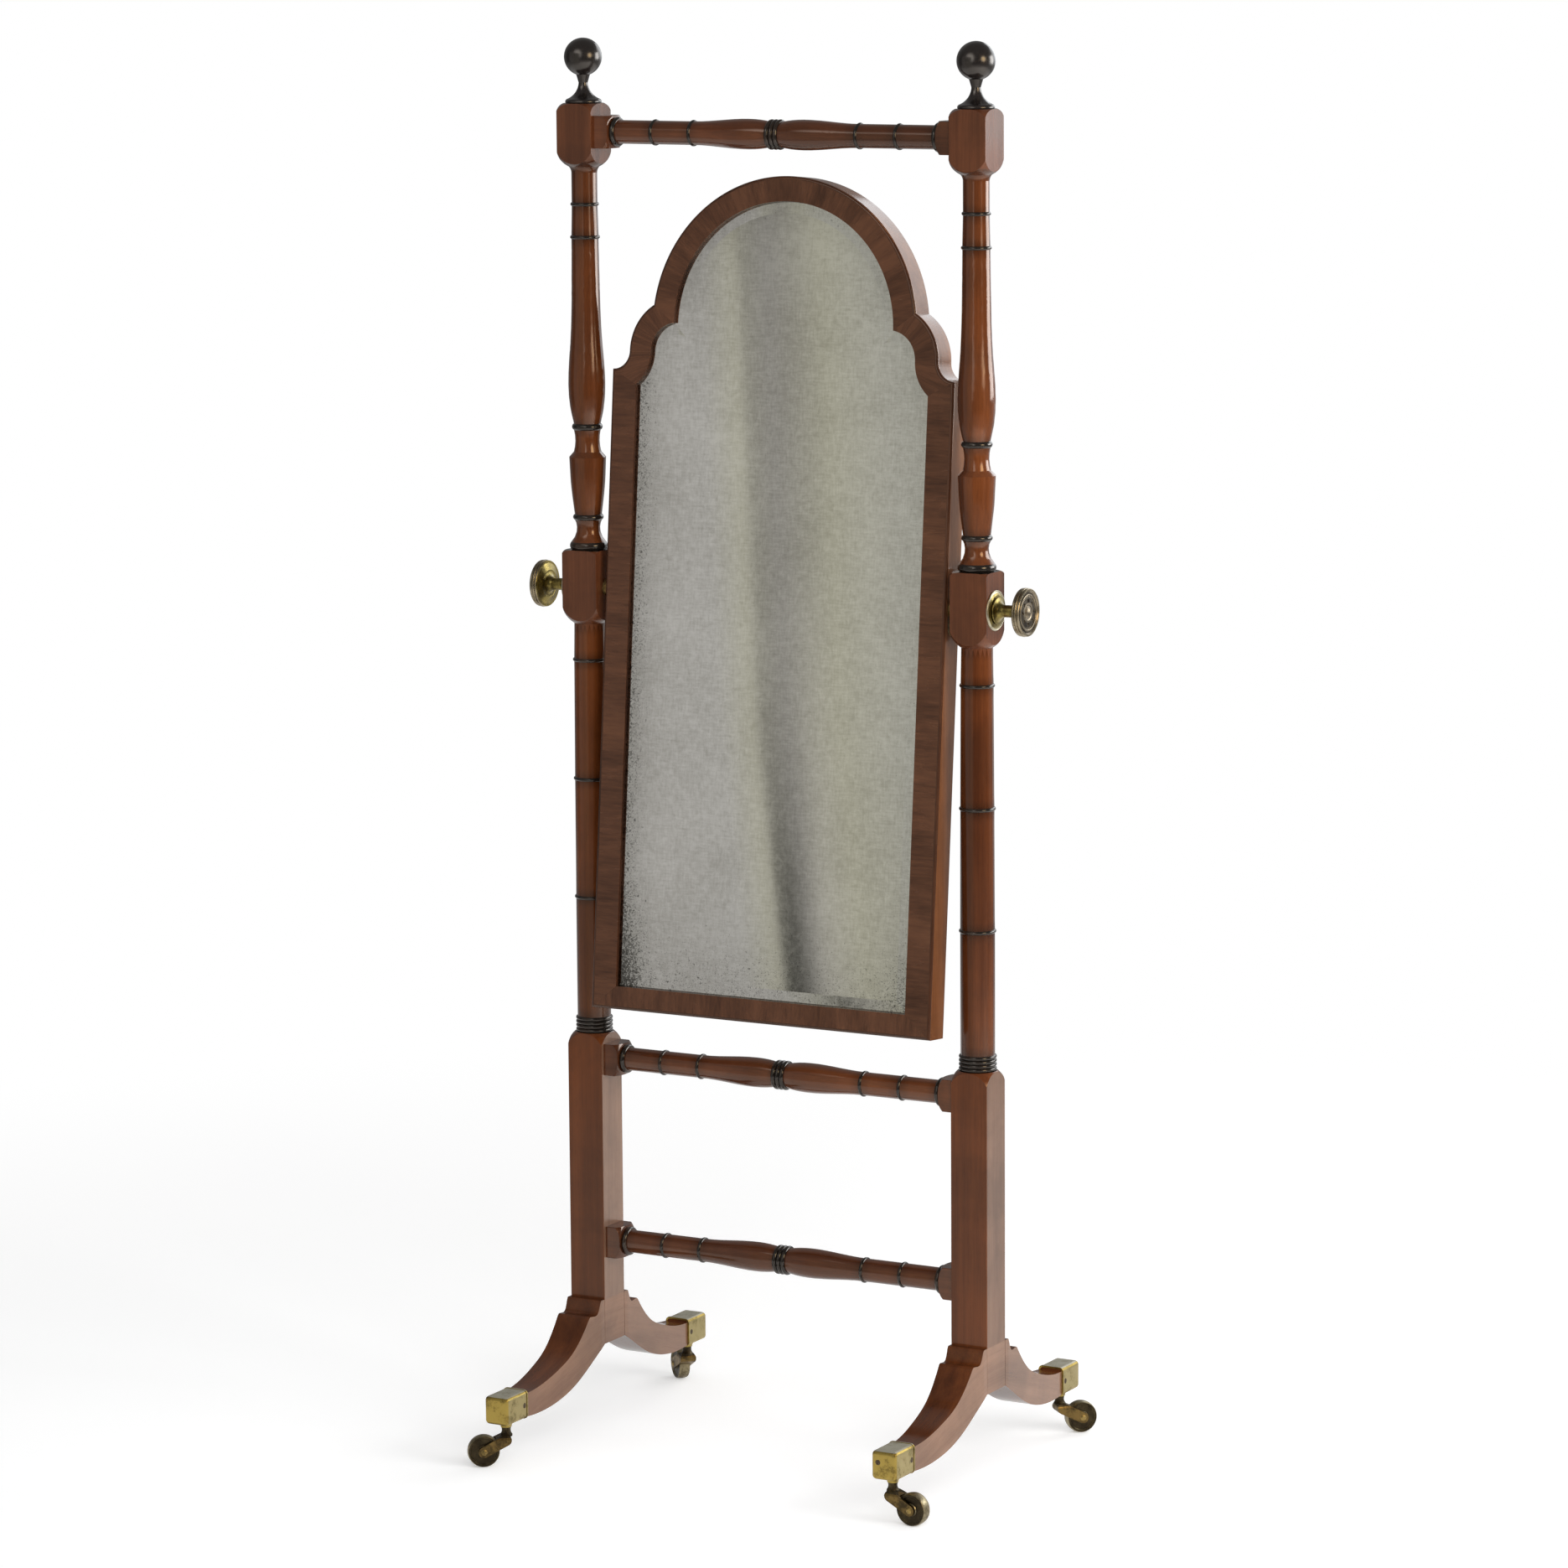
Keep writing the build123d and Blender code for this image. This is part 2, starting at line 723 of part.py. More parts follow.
def toe_socket(side, end, screws):
    """Brass box over a toe, with a beaded lip and a round boss below for the castor pin."""
    x = side * post_x
    y = end * swivel_reach
    socket_height = toe_height + 2 * (socket_wall + glue_gap)
    middle = toe_bottom + toe_height / 2
    mouth = Plane(origin=(x, end * socket_mouth, middle), x_dir=(end, 0, 0), z_dir=(0, end, 0))
    with BuildPart() as socket:
        with BuildSketch(mouth):
            RectangleRounded(2 * socket_half, socket_height, toe_round + socket_wall)
        extrude(amount=socket_length)
        nose = socket.faces().sort_by(Axis((0, 0, 0), (0, end, 0)))[-1]
        fillet(nose.edges(), socket_nose_round)
        with BuildSketch(mouth):
            RectangleRounded(
                2 * (socket_half + socket_lip_proud),
                socket_height + 2 * socket_lip_proud,
                toe_round + socket_wall + socket_lip_proud,
            )
        extrude(amount=socket_lip_width)
        lip = socket.faces().sort_by(Axis((0, 0, 0), (0, end, 0)))[0]
        fillet(lip.outer_wire().edges(), socket_lip_proud * 0.8)
        with BuildSketch(lathe_plane(x, y)):
            with BuildLine():
                Polyline(
                    (0, middle),
                    (0, swivel_height),
                    (socket_boss_neck_radius, swivel_height),
                    (socket_boss_neck_radius, swivel_height + 1.2),
                )
                ThreePointArc(
                    (socket_boss_neck_radius, swivel_height + 1.2),
                    (socket_boss_neck_radius + 1.3, swivel_height + 0.66 * socket_boss_height),
                    (socket_boss_radius, socket_bottom),
                )
                Polyline((socket_boss_radius, socket_bottom), (socket_boss_radius, socket_bottom + 1), (0, middle))
            make_face()
        revolve(axis=upright_axis(x, y))
        with BuildSketch(mouth):
            RectangleRounded(toe_width + 2 * glue_gap, toe_height + 2 * glue_gap, toe_round + glue_gap)
        extrude(amount=socket_length - socket_nose_wall, mode=Mode.SUBTRACT)
        with Locations((x, y, swivel_height)):
            Cylinder(swivel_pin_radius + running_clearance, 2 * socket_boss_height + 10, mode=Mode.SUBTRACT)
        add(screws.part, mode=Mode.SUBTRACT)
    return socket


def castor_planes(x, y, heading):
    """Side plane of a castor (local x along its trail, local y up) and the direction of its axle."""
    trail = (cos(radians(heading)), sin(radians(heading)), 0)
    across = (trail[1], -trail[0], 0)
    return Plane(origin=(x, y, 0), x_dir=trail, z_dir=across), trail, across


def castor_horn(side, end, heading):
    """Forked horn on a swivel pin whose head is upset inside the toe."""
    x = side * post_x
    y = end * swivel_reach
    slot = wheel_width + 2 * wheel_side_clearance
    fork_half = slot / 2 + cheek_thickness
    crown_top = horn_crown_height + horn_crown_radius
    neck_top = swivel_height - face_clearance
    head_foot = toe_bottom + 0.4
    side_plane, trail, across = castor_planes(x, y, heading)
    with BuildPart() as horn:
        with BuildSketch(side_plane):
            with Locations((horn_crown_offset, horn_crown_height)):
                Circle(horn_crown_radius)
            with Locations((castor_trail, wheel_radius)):
                Circle(horn_eye_radius)
            make_hull()
        extrude(amount=fork_half, both=True)
        with BuildSketch(Plane(origin=(x, y, 0), x_dir=across, z_dir=(-trail[0], -trail[1], 0))):
            with BuildLine():
                Polyline(
                    (horn_neck_radius, crown_top),
                    (-horn_neck_radius, crown_top),
                )
                ThreePointArc(
                    (-horn_neck_radius, crown_top),
                    (-fork_half + 1.1, crown_top - 3.4),
                    (-fork_half, crown_top - horn_crown_radius),
                )
                Polyline(
                    (-fork_half, crown_top - horn_crown_radius),
                    (-fork_half, 0),
                    (fork_half, 0),
                    (fork_half, crown_top - horn_crown_radius),
                )
                ThreePointArc(
                    (fork_half, crown_top - horn_crown_radius),
                    (fork_half - 1.1, crown_top - 3.4),
                    (horn_neck_radius, crown_top),
                )
            make_face()
        extrude(amount=3 * castor_trail, both=True, mode=Mode.INTERSECT)

        # Wheel slot and axle hole
        axle_place = side_plane.location * Pos(castor_trail, wheel_radius, 0)
        with Locations(axle_place):
            Cylinder(wheel_radius + wheel_rim_clearance, slot, mode=Mode.SUBTRACT)
            Cylinder(axle_radius, 4 * fork_half, mode=Mode.SUBTRACT)

        # Neck, pin and upset head
        with BuildSketch(lathe_plane(x, y)):
            with BuildLine():
                Polyline(
                    (0, crown_top - 3),
                    (horn_neck_radius + 1.2, crown_top - 3),
                    (horn_neck_radius + 1.2, crown_top - 1),
                )
                ThreePointArc(
                    (horn_neck_radius + 1.2, crown_top - 1),
                    (horn_neck_radius - 0.1, crown_top + 1.2),
                    (horn_neck_radius, neck_top),
                )
                Polyline(
                    (horn_neck_radius, neck_top),
                    (swivel_pin_radius, neck_top),
                    (swivel_pin_radius, head_foot),
                    (swivel_head_radius, head_foot),
                    (swivel_head_radius, head_foot + swivel_head_height),
                    (0, head_foot + swivel_head_height),
                    (0, crown_top - 3),
                )
            make_face()
        revolve(axis=upright_axis(x, y))
    return horn


def castor_axle(side, end, heading):
    """Rivet through the horn, domed at both ends."""
    x = side * post_x
    y = end * swivel_reach
    side_plane, _, _ = castor_planes(x, y, heading)
    fork_half = wheel_width / 2 + wheel_side_clearance + cheek_thickness
    with BuildPart() as axle:
        with Locations(side_plane.location * Pos(castor_trail, wheel_radius, 0)):
            Cylinder(axle_radius, 2 * fork_half)
        for face in (-1, 1):
            head_place = side_plane.location * Pos(castor_trail, wheel_radius, face * fork_half)
            with Locations(head_place * Location((0, 0, 0), (0 if face > 0 else 180, 0, 0))):
                Cone(
                    axle_head_radius,
                    axle_head_radius * 0.55,
                    axle_head_height,
                    align=(Align.CENTER, Align.CENTER, Align.MIN),
                )
    return axle


def castor_wheel(side, end, heading):
    """Solid turned wheel: crowned tread, rim, dished web and hub."""
    x = side * post_x
    y = end * swivel_reach
    side_plane, trail, across = castor_planes(x, y, heading)
    hub = side_plane.location * Pos(castor_trail, wheel_radius, 0)
    half = wheel_width / 2
    web = half - wheel_recess
    rim_inner = wheel_radius - wheel_rim_width
    bore = axle_radius + running_clearance
    with BuildPart() as wheel:
        with BuildSketch(Plane(origin=hub.position, x_dir=trail, z_dir=(0, 0, -1))):
            with BuildLine():
                Polyline(
                    (bore, -half),
                    (wheel_hub_radius, -half),
                    (wheel_hub_radius + 0.8, -web),
                    (rim_inner - 0.8, -web),
                    (rim_inner, -half),
                    (wheel_radius - tread_crown - 0.6, -half),
                    (wheel_radius - tread_crown, -half + 0.8),
                )
                ThreePointArc(
                    (wheel_radius - tread_crown, -half + 0.8),
                    (wheel_radius, 0),
                    (wheel_radius - tread_crown, half - 0.8),
                )
                Polyline(
                    (wheel_radius - tread_crown, half - 0.8),
                    (wheel_radius - tread_crown - 0.6, half),
                    (rim_inner, half),
                    (rim_inner - 0.8, web),
                    (wheel_hub_radius + 0.8, web),
                    (wheel_hub_radius, half),
                    (bore, half),
                    (bore, -half),
                )
            make_face()
        revolve(axis=Axis(hub.position, across))
    return wheel


def pivot_axis_plane(side):
    """Plane along a pivot: local x runs outwards from the upright's axis, local y is the radius."""
    return Plane(origin=(side * post_x, 0, pivot_height), x_dir=(side, 0, 0), z_dir=(0, -side, 0))


def backplate(side):
    """Round rose with a raised rim, between an upright and its knob."""
    outer = post_half + backplate_thickness
    with BuildPart() as rose:
        with BuildSketch(pivot_axis_plane(side)):
            with BuildLine():
                Polyline(
                    (post_half, shank_radius + running_clearance),
                    (post_half, backplate_radius),
                    (post_half + 0.8, backplate_radius),
                )
                ThreePointArc(
                    (post_half + 0.8, backplate_radius),
                    (post_half + 0.8 + backplate_rim / 2, backplate_radius - backplate_rim / 2),
                    (post_half + 0.8, backplate_radius - backplate_rim),
                )
                Polyline(
                    (post_half + 0.8, backplate_radius - backplate_rim),
                    (outer - 1, backplate_radius - 2 * backplate_rim),
                    (outer, trumpet_radius + 2),
                    (outer, shank_radius + running_clearance),
                    (post_half, shank_radius + running_clearance),
                )
            make_face()
        revolve(axis=Axis((0, 0, pivot_height), (1, 0, 0)))
    return rose


def knob(side):
    """Thumb screw: trumpet collar, stem, bell and a broad moulded disc, on a long shank."""
    seat = post_half + backplate_thickness + face_clearance
    rim_back = knob_reach - knob_rim_thickness - 1.2
    bell = rim_back - 5.0
    shank_end = -(post_half + side_gap + shank_engagement)
    axis_plane = pivot_axis_plane(side)
    with BuildPart() as thumb:
        with BuildSketch(axis_plane):
            with BuildLine():
                Polyline(
                    (shank_end, 0),
                    (shank_end, shank_radius - 1),
                    (shank_end + 1, shank_radius),
                    (seat, shank_radius),
                    (seat, trumpet_radius - 0.4),
                )
                ThreePointArc(
                    (seat, trumpet_radius - 0.4),
                    (seat + 0.8, trumpet_radius),
                    (seat + 1.6, trumpet_radius - 0.4),
                )
                ThreePointArc(
                    (seat + 1.6, trumpet_radius - 0.4),
                    (seat + 4.4, knob_stem_radius + 2.3),
                    (seat + 12, knob_stem_radius),
                )
                Line((seat + 12, knob_stem_radius), (bell - 3, knob_stem_radius))
                ThreePointArc(
                    (bell - 3, knob_stem_radius),
                    (bell + 1.5, knob_stem_radius + 3.4),
                    (bell + 2.5, knob_stem_radius + 9),
                )
                Polyline(
                    (bell + 2.5, knob_stem_radius + 9),
                    (rim_back, knob_radius - 3.5),
                    (rim_back, knob_radius - 1.2),
                )
                rim_step = knob_rim_thickness / 3
                for step in range(3):
                    edge = 1.2 if step != 1 else 0.8
                    ThreePointArc(
                        (rim_back + step * rim_step, knob_radius - 1.2),
                        (rim_back + (step + 0.5) * rim_step, knob_radius - (edge - 0.8)),
                        (rim_back + (step + 1) * rim_step, knob_radius - 1.2),
                    )
                face_a = rim_back + knob_rim_thickness
                Polyline(
                    (face_a, knob_radius - 1.2),
                    (face_a, knob_radius - 3),
                    (face_a - 1.6, knob_radius - 4.6),
                    (face_a - 1.6, knob_radius - 6.4),
                )
                ThreePointArc(
                    (face_a - 1.6, knob_radius - 6.4),
                    (face_a - 0.4, knob_radius - 7.6),
                    (face_a - 1.6, knob_radius - 8.8),
                )
                Polyline(
                    (face_a - 1.6, knob_radius - 8.8),
                    (face_a - 0.8, knob_button_radius + 1.2),
                    (face_a - 1.2, knob_button_radius),
                )
                dome_height = knob_reach - face_a + 1.2
                dome_radius = (knob_button_radius**2 + dome_height**2) / (2 * dome_height)
                dome_angle = asin(knob_button_radius / dome_radius) / 2
                ThreePointArc(
                    (face_a - 1.2, knob_button_radius),
                    (knob_reach - dome_radius * (1 - cos(dome_angle)), dome_radius * sin(dome_angle)),
                    (knob_reach, 0),
                )
                Line((knob_reach, 0), (shank_end, 0))
            make_face()
        revolve(axis=Axis((0, 0, pivot_height), (1, 0, 0)))
        face_plane = Plane(
            origin=(side * (post_x + knob_reach - 3.4 + knob_petal_radius), 0, pivot_height),
            x_dir=(0, side, 0),
            z_dir=(side, 0, 0),
        )
        with Locations(face_plane):
            with PolarLocations(knob_petal_circle, knob_petal_count):
                Sphere(knob_petal_radius, mode=Mode.SUBTRACT)
    return thumb


def on_circle(centre, radius, angle):
    return (centre[0] + radius * cos(angle), centre[1] + radius * sin(angle))


def past(start, through, reach):
    """Point on the line from start through another point, a further reach beyond it."""
    length = hypot(through[0] - start[0], through[1] - start[1])
    return (
        through[0] + (through[0] - start[0]) * reach / length,
        through[1] + (through[1] - start[1]) * reach / length,
    )


def flipped(point):
    return (-point[0], point[1])


def frame_corners(side_inset, head_inset, bottom_inset):
    """Right-hand corners of an outline set in from the edge: bottom, shoulder, cove end, cusp."""
    half = mirror_half - side_inset
    arch = arch_radius - head_inset
    ear = ear_radius - head_inset
    cove = cove_radius + head_inset
    bottom = (half, -mirror_drop + bottom_inset)
    top_of_stile = (half, ear_centre[1] - sqrt(cove**2 - side_inset**2))
    cove_end = (ear_centre[0] + ear, ear_centre[1])
    apart = hypot(ear_centre[0], ear_drop)
    along = (apart**2 + arch**2 - ear**2) / (2 * apart)
    out = sqrt(arch**2 - along**2)
    cusp = (
        (along * ear_centre[0] + out * ear_drop) / apart,
        arch_centre + (-along * ear_drop + out * ear_centre[0]) / apart,
    )
    return bottom, top_of_stile, cove_end, cusp


def frame_outline(side_inset, head_inset, bottom_inset):
    """Closed outline of the mirror in the current profile, set in from its outer edge."""
    bottom, top_of_stile, cove_end, cusp = frame_corners(side_inset, head_inset, bottom_inset)
    cove_centre = (mirror_half, ear_centre[1])
    cove_angle = atan2(top_of_stile[1] - cove_centre[1], top_of_stile[0] - cove_centre[0]) + 2 * pi
    cove_middle = on_circle(cove_centre, cove_radius + head_inset, (cove_angle + pi) / 2)
    cusp_angle = atan2(cusp[1] - ear_centre[1], cusp[0] - ear_centre[0])
    ear_middle = on_circle(ear_centre, ear_radius - head_inset, cusp_angle / 2)
    Line(flipped(bottom), bottom)
    Line(bottom, top_of_stile)
    ThreePointArc(top_of_stile, cove_middle, cove_end)
    ThreePointArc(cove_end, ear_middle, cusp)
    ThreePointArc(cusp, (0, arch_centre + arch_radius - head_inset), flipped(cusp))
    ThreePointArc(flipped(cusp), flipped(ear_middle), flipped(cove_end))
    ThreePointArc(flipped(cove_end), flipped(cove_middle), flipped(top_of_stile))
    Line(flipped(top_of_stile), flipped(bottom))


def banded(extra):
    """Insets of an outline that lies a given distance outside the sight edge."""
    return (stile_width - extra, head_band - extra, bottom_band - extra)


# Joint lines between the members of the mirror frame, and the fields they cut it into
outer_bottom, outer_shoulder, _, outer_cusp = frame_corners(0, 0, 0)
inner_bottom, inner_shoulder, _, inner_cusp = frame_corners(*banded(0))
bottom_out = past(inner_bottom, outer_bottom, 15)
bottom_in = past(outer_bottom, inner_bottom, 15)
shoulder_out = past(inner_shoulder, outer_shoulder, 15)
shoulder_in = past(outer_shoulder, inner_shoulder, 15)
cusp_out = past(inner_cusp, outer_cusp, 15)
cusp_in = past(outer_cusp, inner_cusp, 15)
far_side = mirror_half + 40
far_top = mirror_rise + 20
stile_field = [bottom_out, (far_side, bottom_out[1]), (far_side, shoulder_out[1]), shoulder_out, shoulder_in, bottom_in]
ear_field = [shoulder_out, (far_side, shoulder_out[1]), (far_side, cusp_out[1]), cusp_out, cusp_in, shoulder_in]
half_arch_field = [cusp_in, cusp_out, (far_side, cusp_out[1]), (far_side, far_top), (0, far_top), (0, cusp_in[1])]
arch_field = half_arch_field[:4] + [flipped(point) for point in reversed(half_arch_field[:4])]
bottom_field = [bottom_in, bottom_out, flipped(bottom_out), flipped(bottom_in)]


def sided(field, side):
    return [(side * point[0], point[1]) for point in field]


veneer_edge = (frame_edge_width, frame_edge_width, frame_edge_width)


def on_front_arris(edge):
    """Whether an edge runs along the front of the frame on its outer outline."""
    place = mirror_plane.to_local_coords(edge.position_at(0.5))
    if abs(place.Z - front_face) > 0.01:
        return False
    with BuildLine() as outline:
        frame_outline(0, 0, 0)
    return outline.line.distance_to(Vector(place.X, place.Y, 0)) < 0.01


def frame_member(field, cutters):
    """Piece of the mirror frame: front lip, glass and backboard rebates, and a rounded edge round the veneer."""
    layers = (
        (rebate_face, ground_face, 0),
        (backboard_face, rebate_face, glass_rebate),
        (-front_face, backboard_face, glass_rebate + backboard_rebate),
    )
    with BuildPart() as member:
        for back, front, rebate in layers:
            with BuildSketch(mirror_plane.offset(back)):
                with BuildLine():
                    frame_outline(0, 0, 0)
                make_face()
                with BuildLine():
                    frame_outline(*banded(rebate))
                make_face(mode=Mode.SUBTRACT)
                with BuildLine():
                    Polyline(*field, close=True)
                make_face(mode=Mode.INTERSECT)
            extrude(amount=front - back)
        with BuildSketch(mirror_plane.offset(ground_face)):
            with BuildLine():
                frame_outline(0, 0, 0)
            make_face()
            with BuildLine():
                frame_outline(*veneer_edge)
            make_face(mode=Mode.SUBTRACT)
            with BuildLine():
                Polyline(*field, close=True)
            make_face(mode=Mode.INTERSECT)
        extrude(amount=veneer_thickness)
        front_edges = member.edges().filter_by(lambda edge: on_front_arris(edge))
        fillet(front_edges, radius=frame_edge_round)
        for cutter in cutters:
            add(cutter.part, mode=Mode.SUBTRACT)
    return member


def veneer(field):
    """Crossbanded facing on one part of the mirror frame."""
    with BuildPart() as facing:
        with BuildSketch(mirror_plane.offset(ground_face)):
            with BuildLine():
                frame_outline(*veneer_edge)
            make_face()
            with BuildLine():
                frame_outline(*banded(0))
            make_face(mode=Mode.SUBTRACT)
            with BuildLine():
                Polyline(*field, close=True)
            make_face(mode=Mode.INTERSECT)
        extrude(amount=veneer_thickness)
    return facing


def mirror_point(across, up, out):
    """Point given on the mirror: across and up from the middle of the pivot axis, out towards the front."""
    return mirror_plane.from_local_coords(Vector(across, up, out))


def plate_plane(side):
    """Plane on the outer edge of a stile, local x running up the mirror."""
    return Plane(
        origin=mirror_point(side * mirror_half, 0, 0),
        x_dir=mirror_plane.y_dir,
        z_dir=(side, 0, 0),
    )


def pivot_recess(side):
    """Hollow in a stile for its pivot plate and for the end of the knob's shank."""
    with BuildPart() as recess:
        with BuildSketch(plate_plane(side)):
            SlotOverall(pivot_plate_length + 2 * glue_gap, pivot_plate_width + 2 * glue_gap)
        extrude(amount=-pivot_plate_thickness)
        with BuildSketch(plate_plane(side)):
            Circle(shank_radius + 0.5)
        extrude(amount=-(shank_engagement + 2))
    return recess


def pivot_plate(side, screws):
    """Plate let into a stile, with a boss that fills the gap to the upright."""
    with BuildPart() as plate:
        with BuildSketch(plate_plane(side)):
            SlotOverall(pivot_plate_length, pivot_plate_width)
        extrude(amount=-pivot_plate_thickness)
        with BuildSketch(plate_plane(side)):
            Circle(pivot_boss_radius)
        extrude(amount=side_gap - face_clearance)
        with BuildSketch(plate_plane(side)):
            Circle(shank_radius + running_clearance)
        extrude(amount=2 * side_gap, both=True, mode=Mode.SUBTRACT)
        add(screws.part, mode=Mode.SUBTRACT)
    return plate


# Stand: uprights, finials, stretchers and foot blocks
for name, side in sides.items():
    save(upright(side), f"{name}_upright")
    save(finial(side), f"{name}_finial")
    save(foot_block(side), f"{name}_foot_block")
    save(backplate(side), f"{name}_backplate")
    save(knob(side), f"{name}_knob")
for name, height in rail_height.items():
    save(stretcher(height), f"{name}_stretcher")

# Legs, toe sockets and castors
all_socket_screw_places = []
for places in socket_screw_places.values():
    all_socket_screw_places += places
for corner, (side, end) in corners.items():
    corner_screws = screw_set(socket_screw_places[corner])
    heading = castor_heading[corner]
    save(leg(side, end, corner_screws), f"{corner}_leg")
    save(toe_socket(side, end, corner_screws), f"{corner}_toe_socket")
    save(castor_horn(side, end, heading), f"{corner}_castor_horn")
    save(castor_axle(side, end, heading), f"{corner}_castor_axle")
    save(castor_wheel(side, end, heading), f"{corner}_castor_wheel")
save(slotted(screw_set(all_socket_screw_places), all_socket_screw_places), "socket_screws")

# Places of the screws in the mirror: two in each pivot plate, and round the edge of the backboard
plate_screw_places = [
    (mirror_point(side * mirror_half, up * plate_screw_spread / 2, 0), (side, 0, 0))
    for side in (-1, 1)
    for up in (-1, 1)
]
screw_line = glass_rebate + backboard_rebate / 2
stile_line = mirror_half - stile_width + screw_line
stile_span = outer_shoulder[1] - outer_bottom[1] - 2 * bottom_band
stile_screws = max(2, round(stile_span / backboard_screw_pitch) + 1)
screw_points = []
for index in range(stile_screws):
    level = outer_bottom[1] + bottom_band + (index + 0.5) * stile_span / stile_screws
    screw_points += [(-stile_line, level), (stile_line, level)]
bottom_line = outer_bottom[1] + bottom_band - screw_line
screw_points += [(-mirror_half / 2, bottom_line), (mirror_half / 2, bottom_line)]
for angle in (radians(25), radians(62)):
    if angle < radians(40):
        point = on_circle(ear_centre, ear_radius - head_band + screw_line, angle)
    else:
        point = on_circle((0, arch_centre), arch_radius - head_band + screw_line, angle)
    screw_points += [point, flipped(point)]
backward = mirror_plane.z_dir * -1
backboard_screw_places = [(mirror_point(across, up, -front_face), backward) for across, up in screw_points]
plate_screws = screw_set(plate_screw_places)
backboard_screws = screw_set(backboard_screw_places)
save(slotted(plate_screws, plate_screw_places), "pivot_plate_screws")
save(slotted(backboard_screws, backboard_screw_places), "backboard_screws")

# Mirror frame and its veneers
for name, side in sides.items():
    save(pivot_plate(side, plate_screws), f"{name}_pivot_plate")
    stile_cutters = [pivot_recess(side), plate_screws, backboard_screws]
    save(frame_member(sided(stile_field, side), stile_cutters), f"{name}_stile")
    save(frame_member(sided(ear_field, side), [backboard_screws]), f"{name}_ear")
    save(frame_member(sided(half_arch_field, side), [backboard_screws]), f"{name}_arch")
    save(veneer(sided(stile_field, side)), f"{name}_stile_veneer")
    save(veneer(sided(ear_field, side)), f"{name}_ear_veneer")
save(frame_member(bottom_field, [backboard_screws]), "bottom_rail")
save(veneer(bottom_field), "bottom_veneer")
save(veneer(arch_field), "arch_veneer")

# Glass plate with a wide bevel
with BuildPart() as glass:
    with BuildSketch(mirror_plane.offset(glass_back)):
        with BuildLine():
            frame_outline(*banded(glass_rebate - glass_clearance))
        make_face()
    extrude(amount=glass_thickness - bevel_depth)
    with BuildSketch(mirror_plane.offset(glass_face - bevel_depth)):
        with BuildLine():
            frame_outline(*banded(glass_rebate - glass_clearance))
        make_face()
    with BuildSketch(mirror_plane.offset(glass_face)):
        with BuildLine():
            frame_outline(*banded(glass_rebate - glass_clearance - bevel_width))
        make_face()
    loft(ruled=True)
save(glass, "glass")

# Glazing blocks glued into the rebate behind the glass
block_out = mirror_half - stile_width + glass_rebate - glazing_block_side / 2
block_depth = glass_back - glazing_block_side / 2
with BuildPart() as glazing_blocks:
    for index in range(4):
        level = outer_bottom[1] + bottom_band + (index + 0.5) * stile_span / 4
        for side in (-1, 1):
            with Locations(mirror_plane.location * Pos(side * block_out, level, block_depth)):
                Box(glazing_block_side, glazing_block_length, glazing_block_side)
    block_level = outer_bottom[1] + bottom_band - glass_rebate + glazing_block_side / 2
    for across in (-mirror_half / 2, 0, mirror_half / 2):
        with Locations(mirror_plane.location * Pos(across, block_level, block_depth)):
            Box(glazing_block_length, glazing_block_side, glazing_block_side)
save(glazing_blocks, "glazing_blocks")

# Backboard in its own rebate
with BuildPart() as backboard:
    with BuildSketch(mirror_plane.offset(-front_face)):
        with BuildLine():
            frame_outline(*banded(glass_rebate + backboard_rebate - backboard_clearance))
        make_face()
    extrude(amount=backboard_thickness)
    add(backboard_screws.part, mode=Mode.SUBTRACT)
save(backboard, "backboard")
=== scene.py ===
"""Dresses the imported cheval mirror: polished mahogany, ebonised rings, patinated brass, old silvered glass."""

import json
from math import radians

import bpy
from mathutils import Matrix, Vector

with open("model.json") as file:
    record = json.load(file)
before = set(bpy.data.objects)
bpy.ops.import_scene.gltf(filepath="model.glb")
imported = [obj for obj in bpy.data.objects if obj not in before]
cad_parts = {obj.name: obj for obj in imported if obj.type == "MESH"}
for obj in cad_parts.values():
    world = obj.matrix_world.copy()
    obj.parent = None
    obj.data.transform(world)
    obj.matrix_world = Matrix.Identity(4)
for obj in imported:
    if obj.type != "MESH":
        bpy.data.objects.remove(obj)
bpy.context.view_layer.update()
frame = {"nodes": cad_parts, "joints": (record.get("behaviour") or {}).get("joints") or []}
nodes = frame["nodes"]
bpy.ops.object.select_all(action="DESELECT")

# Foot blocks and sabre legs
# Solid mahogany sawn from thick plank, shaped with spokeshave and scraper, then french polished.
# The legs are tenoned into the blocks, and their grain runs out along each leg to the toe.
figure_width = 0.045
stripe_width = 0.009
fibre_width = 0.0016
pore_width = 0.0007
grime_width = 0.12
amber_polish = (1, 0.8, 0.66, 1)


def put(tree, kind, **settings):
    """New shader node: a setting names one of its properties or, with _ for a blank, one of its inputs."""
    shader = tree.nodes.new(kind)
    for key, value in settings.items():
        socket = shader.inputs.get(key.replace("_", " "))
        if socket is None:
            setattr(shader, key, value)
        else:
            socket.default_value = value
    return shader


def finish_named(name):
    """Empty material with a Principled surface; returns it with its tree and that surface."""
    finish = bpy.data.materials.new(name)
    finish.use_nodes = True
    return finish, finish.node_tree, finish.node_tree.nodes["Principled BSDF"]


def stretched(tree, where, stretch):
    """Coordinates multiplied along each axis."""
    scale = put(tree, "ShaderNodeVectorMath", operation="MULTIPLY")
    scale.inputs[1].default_value = stretch
    tree.links.new(where, scale.inputs[0])
    return scale.outputs["Vector"]


